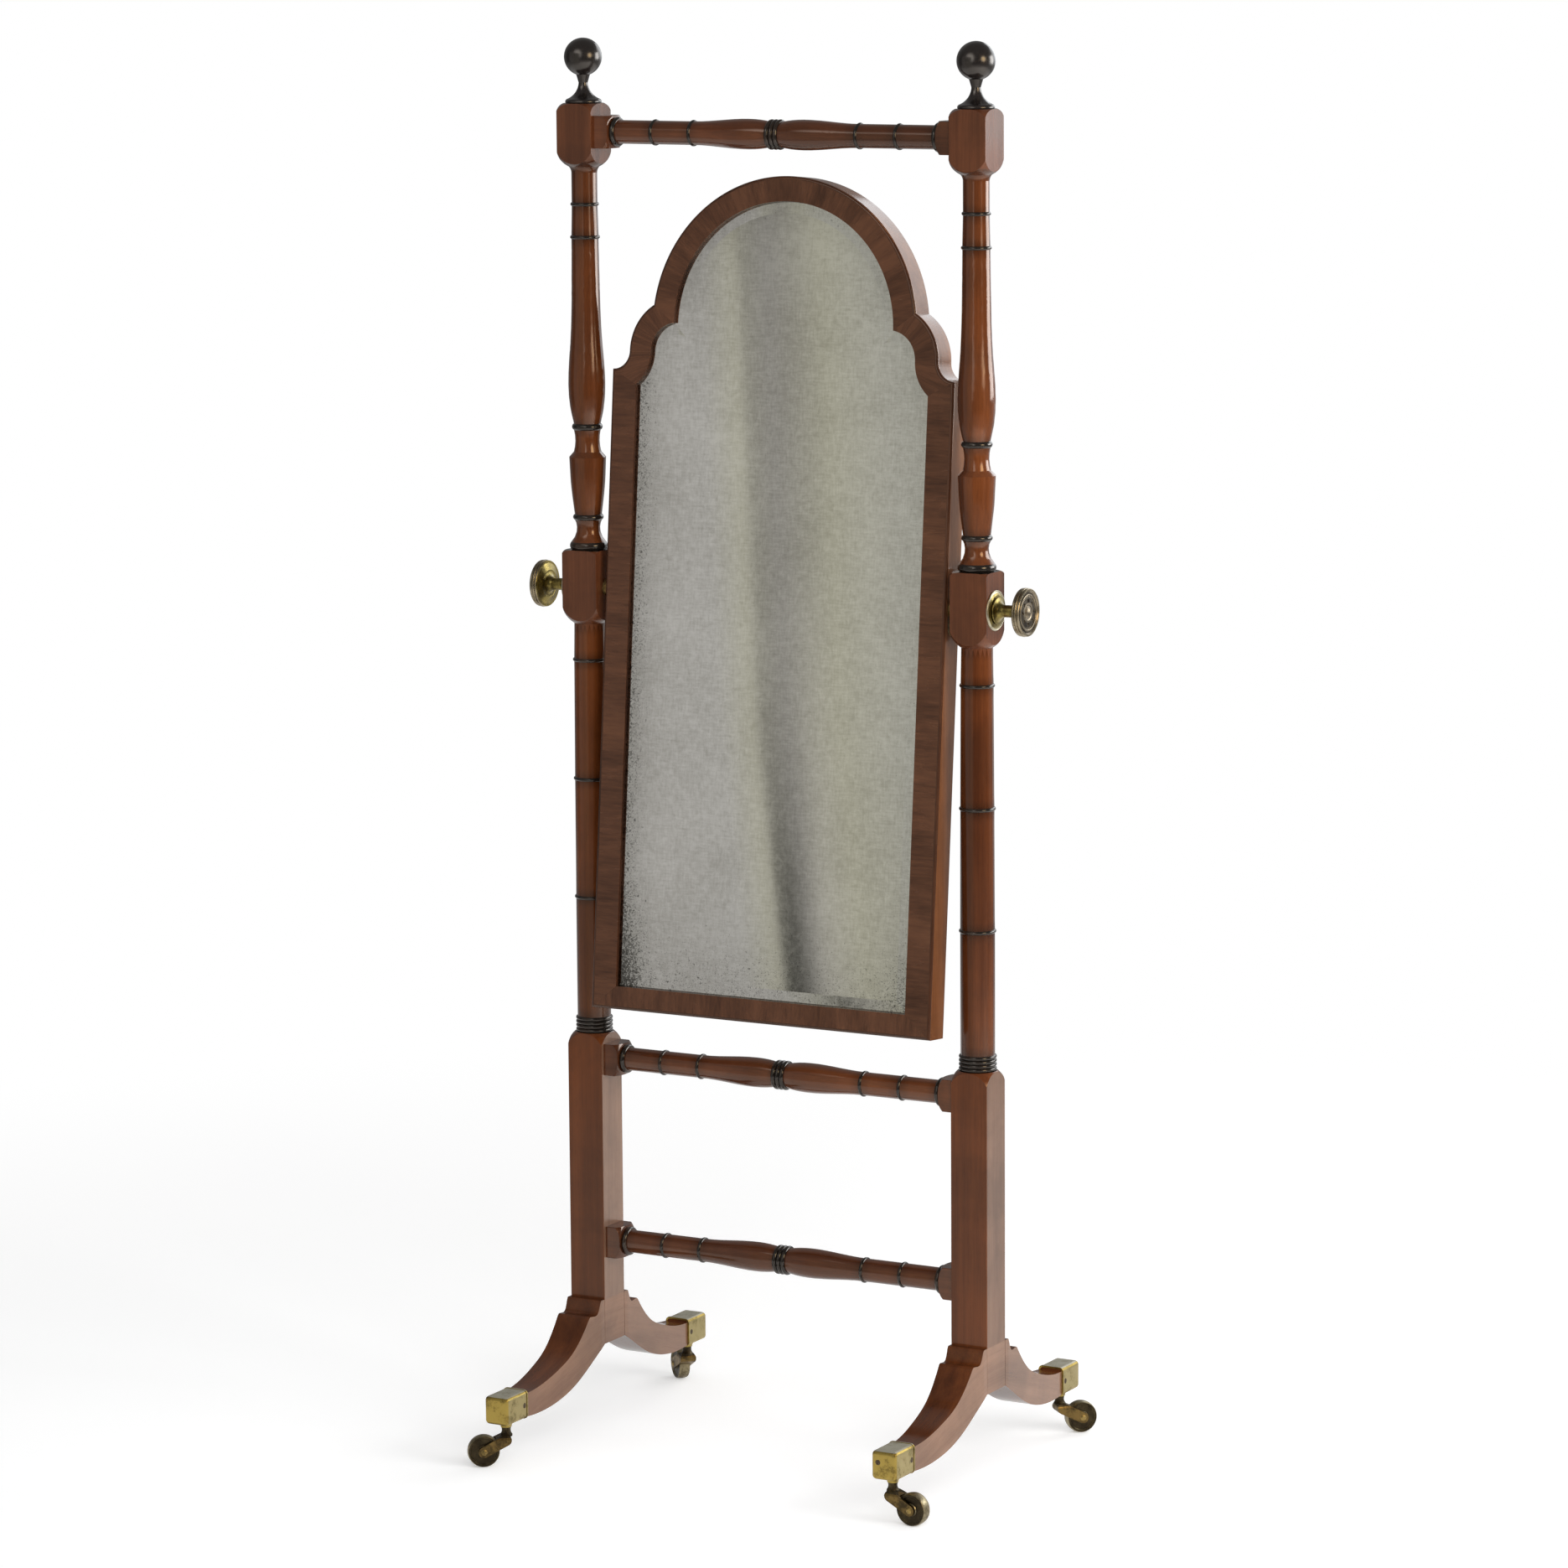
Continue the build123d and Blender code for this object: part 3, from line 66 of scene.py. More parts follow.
def placed(tree, turn=(0, 0, 0), stretch=(1, 1, 1), shift=(0, 0, 0)):
    """Object coordinates, shifted, turned and stretched for one pattern."""
    spot = put(tree, "ShaderNodeTexCoord")
    mapping = put(tree, "ShaderNodeMapping", Rotation=turn, Location=shift)
    tree.links.new(spot.outputs["Object"], mapping.inputs["Vector"])
    return stretched(tree, mapping.outputs["Vector"], stretch)


def toward(tree, where, way):
    """How far a place lies along a direction."""
    along = put(tree, "ShaderNodeVectorMath", operation="DOT_PRODUCT")
    along.inputs[1].default_value = way
    tree.links.new(where, along.inputs[0])
    return along.outputs["Value"]


def cloud(tree, where, size, detail=3.0, rough=0.5, twist=0.0):
    """Noise whose patches are about as wide as the given size in metres."""
    noise = put(tree, "ShaderNodeTexNoise", Scale=1 / size, Detail=detail, Roughness=rough, Distortion=twist)
    tree.links.new(where, noise.inputs["Vector"])
    return noise.outputs["Fac"]


def graded(tree, source, stops):
    """Colour ramp from (place, colour) stops; a colour may be a single grey."""
    ramp = put(tree, "ShaderNodeValToRGB")
    while len(ramp.color_ramp.elements) < len(stops):
        ramp.color_ramp.elements.new(0.5)
    for element, (place, colour) in zip(ramp.color_ramp.elements, stops):
        element.position = place
        if not hasattr(colour, "__len__"):
            colour = (colour, colour, colour)
        element.color = (*colour, 1)
    tree.links.new(source, ramp.inputs["Fac"])
    return ramp.outputs["Color"]


def scaled(tree, source, share):
    """Value times a number."""
    part = put(tree, "ShaderNodeMath", operation="MULTIPLY")
    part.inputs[1].default_value = share
    tree.links.new(source, part.inputs[0])
    return part.outputs[0]


def sum_of(tree, first, first_share, second, second_share):
    """Weighted sum of two values."""
    total = put(tree, "ShaderNodeMath", operation="MULTIPLY_ADD")
    total.inputs[1].default_value = second_share
    tree.links.new(second, total.inputs[0])
    tree.links.new(scaled(tree, first, first_share), total.inputs[2])
    return total.outputs[0]


def laid_over(tree, share, under, over, mode="MIX"):
    """One colour over another, by a share that is a number or a socket."""
    mix = put(tree, "ShaderNodeMix", data_type="RGBA", blend_type=mode)
    for value, socket in ((share, mix.inputs[0]), (under, mix.inputs[6]), (over, mix.inputs[7])):
        if isinstance(value, bpy.types.NodeSocket):
            tree.links.new(value, socket)
        elif hasattr(value, "__len__"):
            socket.default_value = (*value, 1)
        else:
            socket.default_value = value
    return mix.outputs[2]


def embossed(tree, surface, height, strength, depth):
    """Bump of a given depth in metres on a surface."""
    bump = put(tree, "ShaderNodeBump", Strength=strength, Distance=depth)
    tree.links.new(height, bump.inputs["Height"])
    tree.links.new(bump.outputs["Normal"], surface.inputs["Normal"])


def polish_and_shade_beside(tree, colour, way, places, reach=0.012, depth=0.42):
    """Colour darkened on both sides of some places along a direction: painted shade in the creases there, with
    polish gathered in them.
    """
    low = min(places) - reach
    high = max(places) + reach
    span = put(tree, "ShaderNodeMapRange", From_Min=low, From_Max=high)
    tree.links.new(toward(tree, placed(tree), way), span.inputs["Value"])
    stops = []
    for place in sorted(places):
        for near, shade in ((place - reach, 1.0), (place, depth), (place + reach, 1.0)):
            stops.append(((near - low) / (high - low), shade))
    return laid_over(tree, 1.0, colour, graded(tree, span.outputs["Result"], stops), "MULTIPLY")


def polished_wood(name, turn, dark, middle, light, gloss=0.18, shine=0.5, crease_shading=None, relief=0.3):
    """Timber under amber polish, with its grain along the local Z that the turn gives.

    Crease shading, where given, is a direction and the places along it where shade is painted and polish has
    gathered.
    """
    finish, tree, surface = finish_named(name)
    figure = cloud(tree, placed(tree, turn, (1, 1, 0.07)), figure_width, 4, 0.55, 0.5)
    stripe = cloud(tree, placed(tree, turn, (1, 1, 0.02)), stripe_width, 3, 0.6, 0.2)
    fibre = cloud(tree, placed(tree, turn, (1, 1, 0.03)), fibre_width, 2, 0.6)
    pore = cloud(tree, placed(tree, turn, (1, 1, 0.05)), pore_width, 2, 0.5)
    tone = sum_of(tree, figure, 0.62, sum_of(tree, stripe, 0.65, fibre, 0.35), 0.38)
    colour = graded(tree, tone, ((0.36, dark), (0.5, middle), (0.66, light)))
    open_pore = graded(tree, pore, ((0.6, 0.0), (0.7, 1.0)))
    pore_stain = tuple(0.35 * channel for channel in dark)
    colour = laid_over(tree, scaled(tree, open_pore, 0.25), colour, pore_stain)
    grime = cloud(tree, placed(tree), grime_width, 4, 0.6, 0.3)
    handled = graded(tree, grime, ((0.42, 1.0), (0.62, 0.72)))
    colour = laid_over(tree, 1.0, colour, handled, "MULTIPLY")
    if crease_shading:
        colour = polish_and_shade_beside(tree, colour, *crease_shading)
    tree.links.new(colour, surface.inputs["Base Color"])
    rubbing = sum_of(tree, grime, 0.6, stripe, 0.4)
    sheen = graded(tree, rubbing, ((0.3, gloss - 0.05), (0.7, gloss + 0.1)))
    tree.links.new(sheen, surface.inputs["Roughness"])
    surface.inputs["Specular IOR Level"].default_value = shine
    surface.inputs["Specular Tint"].default_value = amber_polish
    embossed(tree, surface, sum_of(tree, fibre, 0.5, pore, -0.5), relief, 0.00018)
    return finish


def dress(name, *finishes):
    """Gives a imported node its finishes, in slot order."""
    slots = nodes[name].data.materials
    slots.clear()
    for finish in finishes:
        slots.append(finish)
    return nodes[name]


def zoned(node, zone):
    """Gives each face of a node the finish whose slot the zone names for its middle and its direction."""
    for face in node.data.polygons:
        face.material_index = int(zone(face.center, face.normal))


def sideways(place, way):
    return abs(way.x) > 0.9


foot_tones = ((0.053, 0.0136, 0.0036), (0.095, 0.0252, 0.0062), (0.153, 0.043, 0.0108))
# Faces that look sideways take paler, greyer tones: a painted sheen of reflected light
side_sheen_tones = ((0.136, 0.0635, 0.0345), (0.189, 0.0945, 0.0535), (0.243, 0.126, 0.075))
foot_gloss = 0.13
side_sheen_shine = 0.62
foot_grain = (radians(90), 0, 0)
foot_mahogany = polished_wood("foot_mahogany", foot_grain, *foot_tones, gloss=foot_gloss)
foot_side_sheen = polished_wood("foot_side_sheen", foot_grain, *side_sheen_tones, shine=side_sheen_shine)
for side in ("left", "right"):
    zoned(dress(f"{side}_foot_block", foot_mahogany, foot_side_sheen), sideways)
leg_slope = 106.9
for end, sign in (("front", -1), ("rear", 1)):
    leg_grain = (radians(sign * leg_slope), 0, 0)
    leg_mahogany = polished_wood(f"{end}_leg_mahogany", leg_grain, *foot_tones, gloss=foot_gloss)
    leg_side_sheen = polished_wood(f"{end}_leg_side_sheen", leg_grain, *side_sheen_tones, shine=side_sheen_shine)
    for side in ("left", "right"):
        zoned(dress(f"{end}_{side}_leg", leg_mahogany, leg_side_sheen), sideways)

# Uprights
# Mahogany posts left square at three blocks and turned between them on the lathe.
# The beads and rings were blackened while the work was still spinning.
ebony_black = (0.0095, 0.0075, 0.006)
rubbed_brown = (0.05, 0.024, 0.013)


def ebonised(name, wear=0.35, gloss=0.1, black=ebony_black, relief=0.02, shine=0.5):
    """Wood stained black and polished, rubbed brown where hands have worn it."""
    finish, tree, surface = finish_named(name)
    where = placed(tree)
    rubbed = graded(tree, cloud(tree, where, 0.03, 4, 0.6), ((0.52, 0.0), (0.72, 1.0)))
    colour = laid_over(tree, scaled(tree, rubbed, wear), black, rubbed_brown)
    tree.links.new(colour, surface.inputs["Base Color"])
    dull = graded(tree, cloud(tree, where, 0.012, 3, 0.6), ((0.3, gloss), (0.75, 1.4 * gloss)))
    tree.links.new(dull, surface.inputs["Roughness"])
    surface.inputs["Specular IOR Level"].default_value = shine
    surface.inputs["Specular Tint"].default_value = (1, 0.9, 0.8, 1)
    embossed(tree, surface, cloud(tree, placed(tree, stretch=(1, 1, 0.2)), 0.004, 2), relief, 0.0001)
    return finish


def within(place, spans):
    return any(low < place < high for low, high in spans)


def shaded(share, *tones):
    """The same tones scaled darker or lighter by a share."""
    return [tuple(share * channel for channel in tone) for tone in tones]


def warmed(*tones):
    """The same tones under more amber polish."""
    return [(1.1 * red, green, 0.72 * blue) for red, green, blue in tones]


black_rings = ebonised("black_rings")
lower_top = 0.46595
pivot_bottom = 0.93895
pivot_top = 1.02295
top_bottom = 1.45595
foot_beads = 0.01805
pivot_torus = 0.00895
cup_bead = (0.03385, 0.04035)
vase_bead = (0.13615, 0.14345)
ring_half = 0.00205
first_ring = 0.157
ring_pitch = 0.137
lower_rings = [lower_top + first_ring + step * ring_pitch for step in range(3)]
upper_rings = [top_bottom - 0.079, top_bottom - 0.042]
black_spans = [(lower_top, lower_top + foot_beads), (pivot_top, pivot_top + pivot_torus)]
black_spans += [(pivot_top + low, pivot_top + high) for low, high in (cup_bead, vase_bead)]
black_spans += [(place - ring_half, place + ring_half) for place in lower_rings + upper_rings]
turned_spans = [(lower_top, pivot_bottom - 0.004), (pivot_top, top_bottom + 0.007)]


def post_zone(place, way):
    """Slot of a face of an upright: block, turning, black ring, painted-sheen side of its foot, or front of its
    foot.
    """
    if place.z < lower_top:
        return 3 if sideways(place, way) else 4
    return 2 if within(place.z, black_spans) else int(within(place.z, turned_spans))


# Painted shade in the creases beside each ring and bead and under the blocks, with polish gathered there
ring_places = lower_rings + upper_rings + [lower_top + 0.018, pivot_bottom, pivot_top + 0.037]
ring_places += [pivot_top + 0.14, top_bottom + 0.003]
post_crease_shading = ((0, 0, 1), ring_places)
upright_grain = (0, 0, 0)
mahogany = ((0.066, 0.0183, 0.0068), (0.114, 0.0335, 0.0122), (0.18, 0.0545, 0.0195))
# Paler, greyer tones on the sideways faces of each post's foot: a painted sheen of reflected light
post_side_sheen_tones = ((0.13, 0.064, 0.037), (0.176, 0.091, 0.054), (0.222, 0.119, 0.073))
foot_lift = 1.12
turned_finish = {"gloss": 0.1, "shine": 0.6, "relief": 0.1}
# Painted shade of each post, darker on the left one, farther from the light: shades of its blocks, its turning
# and the sheened side of its foot, and the shine of that side
post_shades = (("left", 0.68, 0.66, 1.0, 0.9), ("right", 0.95, 0.86, 0.82, 0.45))
for side, square_shade, turned_shade, side_sheen_shade, post_side_shine in post_shades:
    square_tones = shaded(square_shade, *mahogany)
    square_wood = polished_wood(f"{side}_post_block", upright_grain, *square_tones, relief=0.15)
    turned_tones = warmed(*shaded(turned_shade, *mahogany))
    turning_name = f"{side}_post_turning"
    turned_wood = polished_wood(turning_name, upright_grain, *turned_tones, crease_shading=post_crease_shading, **turned_finish)
    side_tones = shaded(side_sheen_shade, *post_side_sheen_tones)
    post_side_sheen = polished_wood(f"{side}_post_side_sheen", upright_grain, *side_tones, shine=post_side_shine)
    front_tones = warmed(*shaded(foot_lift * square_shade, *mahogany))
    foot_front = polished_wood(f"{side}_post_foot", upright_grain, *front_tones, shine=0.42, relief=0.15)
    zoned(dress(f"{side}_upright", square_wood, turned_wood, black_rings, post_side_sheen, foot_front), post_zone)

# Stretchers
# Three turned mahogany rails with square pads, tenoned between the uprights.
# Their beads and end rings are blackened like those of the uprights.
rail_grain = (0, radians(-90), 0)
rail_rings = [(0.103, 0.107), (0.152, 0.156), (0.2, 0.206)]
rail_spans = [(-0.0081, 0.0081)] + rail_rings + [(-high, -low) for low, high in rail_rings]
# Painted shade in the creases beside each black ring, with polish gathered there
rail_crease_shading = ((1, 0, 0), [(low + high) / 2 for low, high in rail_spans], 0.014, 0.6)
rail_tones = shaded(0.8, *mahogany)
rail_mahogany = polished_wood("rail_mahogany", rail_grain, *rail_tones, crease_shading=rail_crease_shading, **turned_finish)
for height in ("top", "middle", "bottom"):
    rail = dress(f"{height}_stretcher", rail_mahogany, black_rings)
    zoned(rail, lambda place, way: within(place.x, rail_spans))

# Finials
# Ebonised balls on trumpet feet, each turned in one piece and dowelled into the top of its upright.
# Handling has left their black smoother and deeper than that of the rings.
finial_deep = (0.0075, 0.0058, 0.0055)
finial_black = ebonised("finial_black", wear=0.05, gloss=0.19, black=finial_deep, relief=0.0, shine=0.7)
for side in ("left", "right"):
    dress(f"{side}_finial", finial_black)

# Toe sockets
# Cast brass boxes driven over the toes and held by a wood screw in each cheek.
# The cheeks carry a painted pale sheen and the tops a painted grey reflection of the sky, while the screws went
# brown.


def patinated_brass(name, bright, brown, share, gloss, metallic=1.0):
    """Old brass: bright metal under a brown patina that covers the given share of it."""
    finish, tree, surface = finish_named(name)
    where = placed(tree)
    patch = cloud(tree, where, 0.014, 5, 0.62, 0.4)
    speck = cloud(tree, where, 0.0022, 4, 0.65)
    stain = sum_of(tree, patch, 0.7, speck, 0.3)
    covered = graded(tree, stain, ((0.66 - 0.4 * share, 0.0), (0.82 - 0.4 * share, 1.0)))
    shade = cloud(tree, placed(tree, shift=(0.3, 0.1, 0.7)), 0.03, 3, 0.5)
    metal = laid_over(tree, shade, tuple(0.8 * channel for channel in bright), bright)
    colour = laid_over(tree, covered, metal, brown)
    tree.links.new(colour, surface.inputs["Base Color"])
    surface.inputs["Metallic"].default_value = metallic
    dull = graded(tree, stain, ((0.35, gloss), (0.7, gloss + 0.28)))
    tree.links.new(dull, surface.inputs["Roughness"])
    scratch = cloud(tree, placed(tree, (0, 0, radians(20)), (1, 0.06, 1)), 0.0012, 2)
    embossed(tree, surface, sum_of(tree, scratch, 0.5, speck, 0.5), 0.3, 0.00015)
    return finish


def dark_iron(name):
    """Steel wood screws, brown with age."""
    finish, tree, surface = finish_named(name)
    rust = cloud(tree, placed(tree), 0.0015, 4, 0.6)
    colour = graded(tree, rust, ((0.35, (0.05, 0.03, 0.018)), (0.7, (0.14, 0.1, 0.06))))
    tree.links.new(colour, surface.inputs["Base Color"])
    surface.inputs["Metallic"].default_value = 0.8
    surface.inputs["Roughness"].default_value = 0.5
    embossed(tree, surface, rust, 0.3, 0.0001)
    return finish


socket_brass = patinated_brass("socket_brass", (0.41, 0.295, 0.075), (0.14, 0.098, 0.032), 0.42, 0.3)
# Painted grey reflection of the sky for the tops, and a painted pale sheen for the cheeks
socket_sky_sheen = patinated_brass("socket_sky_sheen", (0.36, 0.34, 0.26), (0.2, 0.18, 0.12), 0.4, 0.3, metallic=0.3)
socket_side_sheen = patinated_brass("socket_side_sheen", (0.39, 0.315, 0.14), (0.17, 0.13, 0.05), 0.38, 0.28)
old_screw = dark_iron("old_screw")
corners = ("front_left", "front_right", "rear_left", "rear_right")
top_facing = 0.8


def socket_zone(place, way):
    """Slot of a face of a socket: olive nose and edges, top with a painted grey sky reflection, or cheeks with a
    painted pale sheen.
    """
    return 1 if way.z > top_facing else 2 * int(sideways(place, way))


for corner in corners:
    zoned(dress(f"{corner}_toe_socket", socket_brass, socket_sky_sheen, socket_side_sheen), socket_zone)
dress("socket_screws", old_screw)

# Castors
# Brass horns that swivel on pins under the sockets, each riveted through a solid turned wheel.
# The wheels have gone nearly black, with treads paler where they roll and painted paler still as a sheen where
# light catches them.
horn_brass = patinated_brass("horn_brass", (0.2, 0.13, 0.045), (0.06, 0.043, 0.021), 0.55, 0.32)
horn_dark = patinated_brass("horn_dark", (0.085, 0.066, 0.036), (0.028, 0.021, 0.014), 0.6, 0.36)
rivet_brass = patinated_brass("rivet_brass", (0.33, 0.23, 0.08), (0.06, 0.042, 0.02), 0.4, 0.3)
wheel_sides = patinated_brass("wheel_sides", (0.066, 0.05, 0.027), (0.033, 0.025, 0.015), 0.65, 0.3)
# Paler treads: worn by rolling, with a painted sheen
wheel_tread_sheen = patinated_brass("wheel_tread_sheen", (0.3, 0.25, 0.15), (0.075, 0.058, 0.034), 0.45, 0.3)
horn_shoulder = 0.034
tread_facing = 0.75
rolls = [joint for joint in frame["joints"] if joint["name"].endswith("_roll")]
wheel_axis = {joint["child"]: Vector(joint["axis"]) for joint in rolls}
for corner in corners:
    horn = dress(f"{corner}_castor_horn", horn_brass, horn_dark)
    zoned(horn, lambda place, way: place.z > horn_shoulder)
    dress(f"{corner}_castor_axle", rivet_brass)
    axis = wheel_axis[f"{corner}_wheel"]
    wheel = dress(f"{corner}_castor_wheel", wheel_sides, wheel_tread_sheen)
    zoned(wheel, lambda place, way: abs(way.dot(axis)) < tread_facing)

# Mirror frame
# Seven rebated members of solid mahogany, mitred at the corners and the shoulders.
# Their polished outer edges carry painted light, and their fronts and the inner edges over the glass carry
# painted shade.
# Lighter tones on the outer edges: painted light
lit_edge_tones = ((0.096, 0.0335, 0.0133), (0.158, 0.059, 0.0233), (0.228, 0.0935, 0.0395))
stile_lit_wood = polished_wood("stile_lit_wood", upright_grain, *lit_edge_tones)
rail_lit_wood = polished_wood("rail_lit_wood", rail_grain, *lit_edge_tones)
# Dark tones on the fronts and the inner edges over the glass: painted shade
shaded_arris_tones = ((0.03, 0.0105, 0.005), (0.052, 0.019, 0.009), (0.08, 0.03, 0.014))
stile_shaded_arris = polished_wood("stile_shaded_arris", upright_grain, *shaded_arris_tones)
rail_shaded_arris = polished_wood("rail_shaded_arris", rail_grain, *shaded_arris_tones)
arch_centre_up = 1.281
foot_centre_up = 0.6


def sight_zone(place, way):
    """True on the front and on the faces that look in over the glass."""
    middle_up = min(max(place.z, foot_centre_up), arch_centre_up)
    inward = Vector((0, place.y, middle_up)) - place
    return way.y < -0.3 or way.dot(inward.normalized()) > 0.3


for side in ("left", "right"):
    for member in ("stile", "ear"):
        zoned(dress(f"{side}_{member}", stile_lit_wood, stile_shaded_arris), sight_zone)
for member in ("left_arch", "right_arch", "bottom_rail"):
    zoned(dress(member, rail_lit_wood, rail_shaded_arris), sight_zone)

# Crossbanded veneers
# Thin mahogany facings glued to the frame with the grain across its width:
# level on the stiles, upright along the bottom and radial round the ears and the arch.
band_tones = ((0.036, 0.0125, 0.0057), (0.072, 0.0272, 0.0125), (0.115, 0.0445, 0.02))


def crossband(name, where):
    """Veneer whose grain runs along the local Z of the coordinates that it is given."""
    finish, tree, surface = finish_named(name)
    spot = where(tree)

    def across(size, stretch, detail):
        return cloud(tree, stretched(tree, spot, (1, 1, stretch)), size, detail, 0.6, 0.2)

    figure = across(0.03, 0.25, 4)
    stripe = across(0.004, 0.1, 3)
    fibre = across(0.0011, 0.06, 2)
    tone = sum_of(tree, figure, 0.5, sum_of(tree, stripe, 0.6, fibre, 0.4), 0.5)
    colour = graded(tree, tone, tuple(zip((0.36, 0.5, 0.66), band_tones)))
    tree.links.new(colour, surface.inputs["Base Color"])
    dull = graded(tree, figure, ((0.3, 0.2), (0.7, 0.32)))
    tree.links.new(dull, surface.inputs["Roughness"])
    surface.inputs["Specular IOR Level"].default_value = 0.4
    surface.inputs["Specular Tint"].default_value = (1, 0.85, 0.75, 1)
    embossed(tree, surface, fibre, 0.25, 0.00012)
    return finish


def straight(turn):
    return lambda tree: placed(tree, turn)


def radial(centre_across, centre_up, mean_radius=0.15):
    """Coordinates round a centre on the mirror: arc length in X, depth in Y, radius in Z."""

    def build(tree):
        parts = put(tree, "ShaderNodeSeparateXYZ")
        tree.links.new(placed(tree, shift=(-centre_across, 0, -centre_up)), parts.inputs[0])
        angle = put(tree, "ShaderNodeMath", operation="ARCTAN2")
        tree.links.new(parts.outputs["X"], angle.inputs[0])
        tree.links.new(parts.outputs["Z"], angle.inputs[1])
        flat = put(tree, "ShaderNodeCombineXYZ")
        tree.links.new(parts.outputs["X"], flat.inputs["X"])
        tree.links.new(parts.outputs["Z"], flat.inputs["Z"])
        radius = put(tree, "ShaderNodeVectorMath", operation="LENGTH")
        tree.links.new(flat.outputs[0], radius.inputs[0])
        spot = put(tree, "ShaderNodeCombineXYZ")
        tree.links.new(scaled(tree, angle.outputs[0], mean_radius), spot.inputs["X"])
        tree.links.new(parts.outputs["Y"], spot.inputs["Y"])
        tree.links.new(radius.outputs["Value"], spot.inputs["Z"])
        return spot.outputs[0]

    return build


dress("bottom_veneer", crossband("bottom_crossband", straight(upright_grain)))
stile_crossband = crossband("stile_crossband", straight(rail_grain))
ear_across = 0.135
ear_up = 1.249
for side, sign in (("left", -1), ("right", 1)):
    dress(f"{side}_stile_veneer", stile_crossband)
    dress(f"{side}_ear_veneer", crossband(f"{side}_ear_crossband", radial(sign * ear_across, ear_up)))
dress("arch_veneer", crossband("arch_crossband", radial(0, arch_centre_up)))

# Mirror plate
# Old glass with a wide bevel, silvered on the back. The silvering is cloudy all over,
# and foxed with dark specks that crowd in from the frame.
silver_pale = (0.83, 0.815, 0.76)
silver_grey = (0.59, 0.575, 0.52)
edge_haze_grey = (0.36, 0.35, 0.31)
fox_black = (0.045, 0.042, 0.034)
glass_side = 0.2
glass_foot = 0.5
glass_head = 0.142


def ranged(tree, source, low, high, start=0.0, end=1.0):
    """Value carried smoothly from one range to another and held at its ends."""
    span = put(tree, "ShaderNodeMapRange", interpolation_type="SMOOTHSTEP", From_Min=low, From_Max=high)
    span.inputs["To Min"].default_value = start
    span.inputs["To Max"].default_value = end
    tree.links.new(source, span.inputs["Value"])
    return span.outputs["Result"]


def product(tree, first, second):
    """One value times another."""
    both = put(tree, "ShaderNodeMath", operation="MULTIPLY")
    tree.links.new(first, both.inputs[0])
    tree.links.new(second, both.inputs[1])
    return both.outputs[0]


def old_silvering(name, gloss=0.03):
    """Silvered back of the plate: canvas-fine mottling, with foxing crowded at the left and the foot."""
    finish, tree, surface = finish_named(name)
    where = placed(tree)
    haze = cloud(tree, where, 0.16, 3, 0.5, 0.3)
    mottle = cloud(tree, where, 0.009, 5, 0.7, 0.6)
    weft = cloud(tree, placed(tree, stretch=(0.18, 1, 1)), 0.0022, 3, 0.6)
    warp = cloud(tree, placed(tree, stretch=(1, 1, 0.18)), 0.0022, 3, 0.6)
    canvas = sum_of(tree, weft, 0.5, warp, 0.5)
    tone = sum_of(tree, haze, 0.25, sum_of(tree, mottle, 0.38, canvas, 0.62), 0.75)
    colour = graded(tree, tone, ((0.4, silver_grey), (0.58, silver_pale)))
    left = ranged(tree, toward(tree, where, (-1, 0, 0)), 0.13, glass_side)
    right = ranged(tree, toward(tree, where, (1, 0, 0)), 0.14, glass_side)
    foot = ranged(tree, toward(tree, where, (0, 0, -1)), -0.68, -glass_foot)
    from_arch = put(tree, "ShaderNodeVectorMath", operation="LENGTH")
    arch_spot = placed(tree, shift=(0, 0, -arch_centre_up), stretch=(1, 0, 1))
    tree.links.new(arch_spot, from_arch.inputs[0])
    head = ranged(tree, from_arch.outputs["Value"], 0.1, glass_head)
    above = ranged(tree, toward(tree, where, (0, 0, 1)), arch_centre_up - 0.02, arch_centre_up + 0.05)
    sides = sum_of(tree, left, 0.2, right, 0.075)
    ends = sum_of(tree, foot, 0.13, product(tree, head, above), 0.08)
    crowd = sum_of(tree, sides, 1, ends, 1)
    # Grey laid over the silvering, heavier toward the frame, most at the left and the foot
    colour = laid_over(tree, scaled(tree, crowd, 2.6), colour, edge_haze_grey)
    speck = sum_of(tree, cloud(tree, where, 0.0026, 4, 0.75, 0.6), 1, crowd, 1)
    dot = sum_of(tree, cloud(tree, placed(tree, shift=(2, 1, 3)), 0.0013, 3, 0.7), 1, crowd, 0.9)
    colour = laid_over(tree, graded(tree, speck, ((0.69, 0.0), (0.75, 0.8))), colour, fox_black)
    colour = laid_over(tree, graded(tree, dot, ((0.7, 0.0), (0.76, 0.85))), colour, fox_black)
    tree.links.new(colour, surface.inputs["Base Color"])
    surface.inputs["Metallic"].default_value = 1.0
    dull = graded(tree, mottle, ((0.3, gloss), (0.7, 2 * gloss)))
    tree.links.new(dull, surface.inputs["Roughness"])
    return finish


flat_enough = 0.999
plate = dress("glass", old_silvering("old_silvering"), old_silvering("bevel_silvering", gloss=0.06))
facing = max(plate.data.polygons, key=lambda face: face.area).normal.copy()
zoned(plate, lambda place, way: abs(way.dot(facing)) < flat_enough)

# Backboard and glazing blocks
# Bare pine, brown with age and dust: blocks rubbed in with glue behind the glass,
# and a thin board over them, screwed into the rebate of the frame.
pine_dark = (0.085, 0.045, 0.021)
pine_middle = (0.18, 0.104, 0.05)
pine_light = (0.28, 0.172, 0.086)


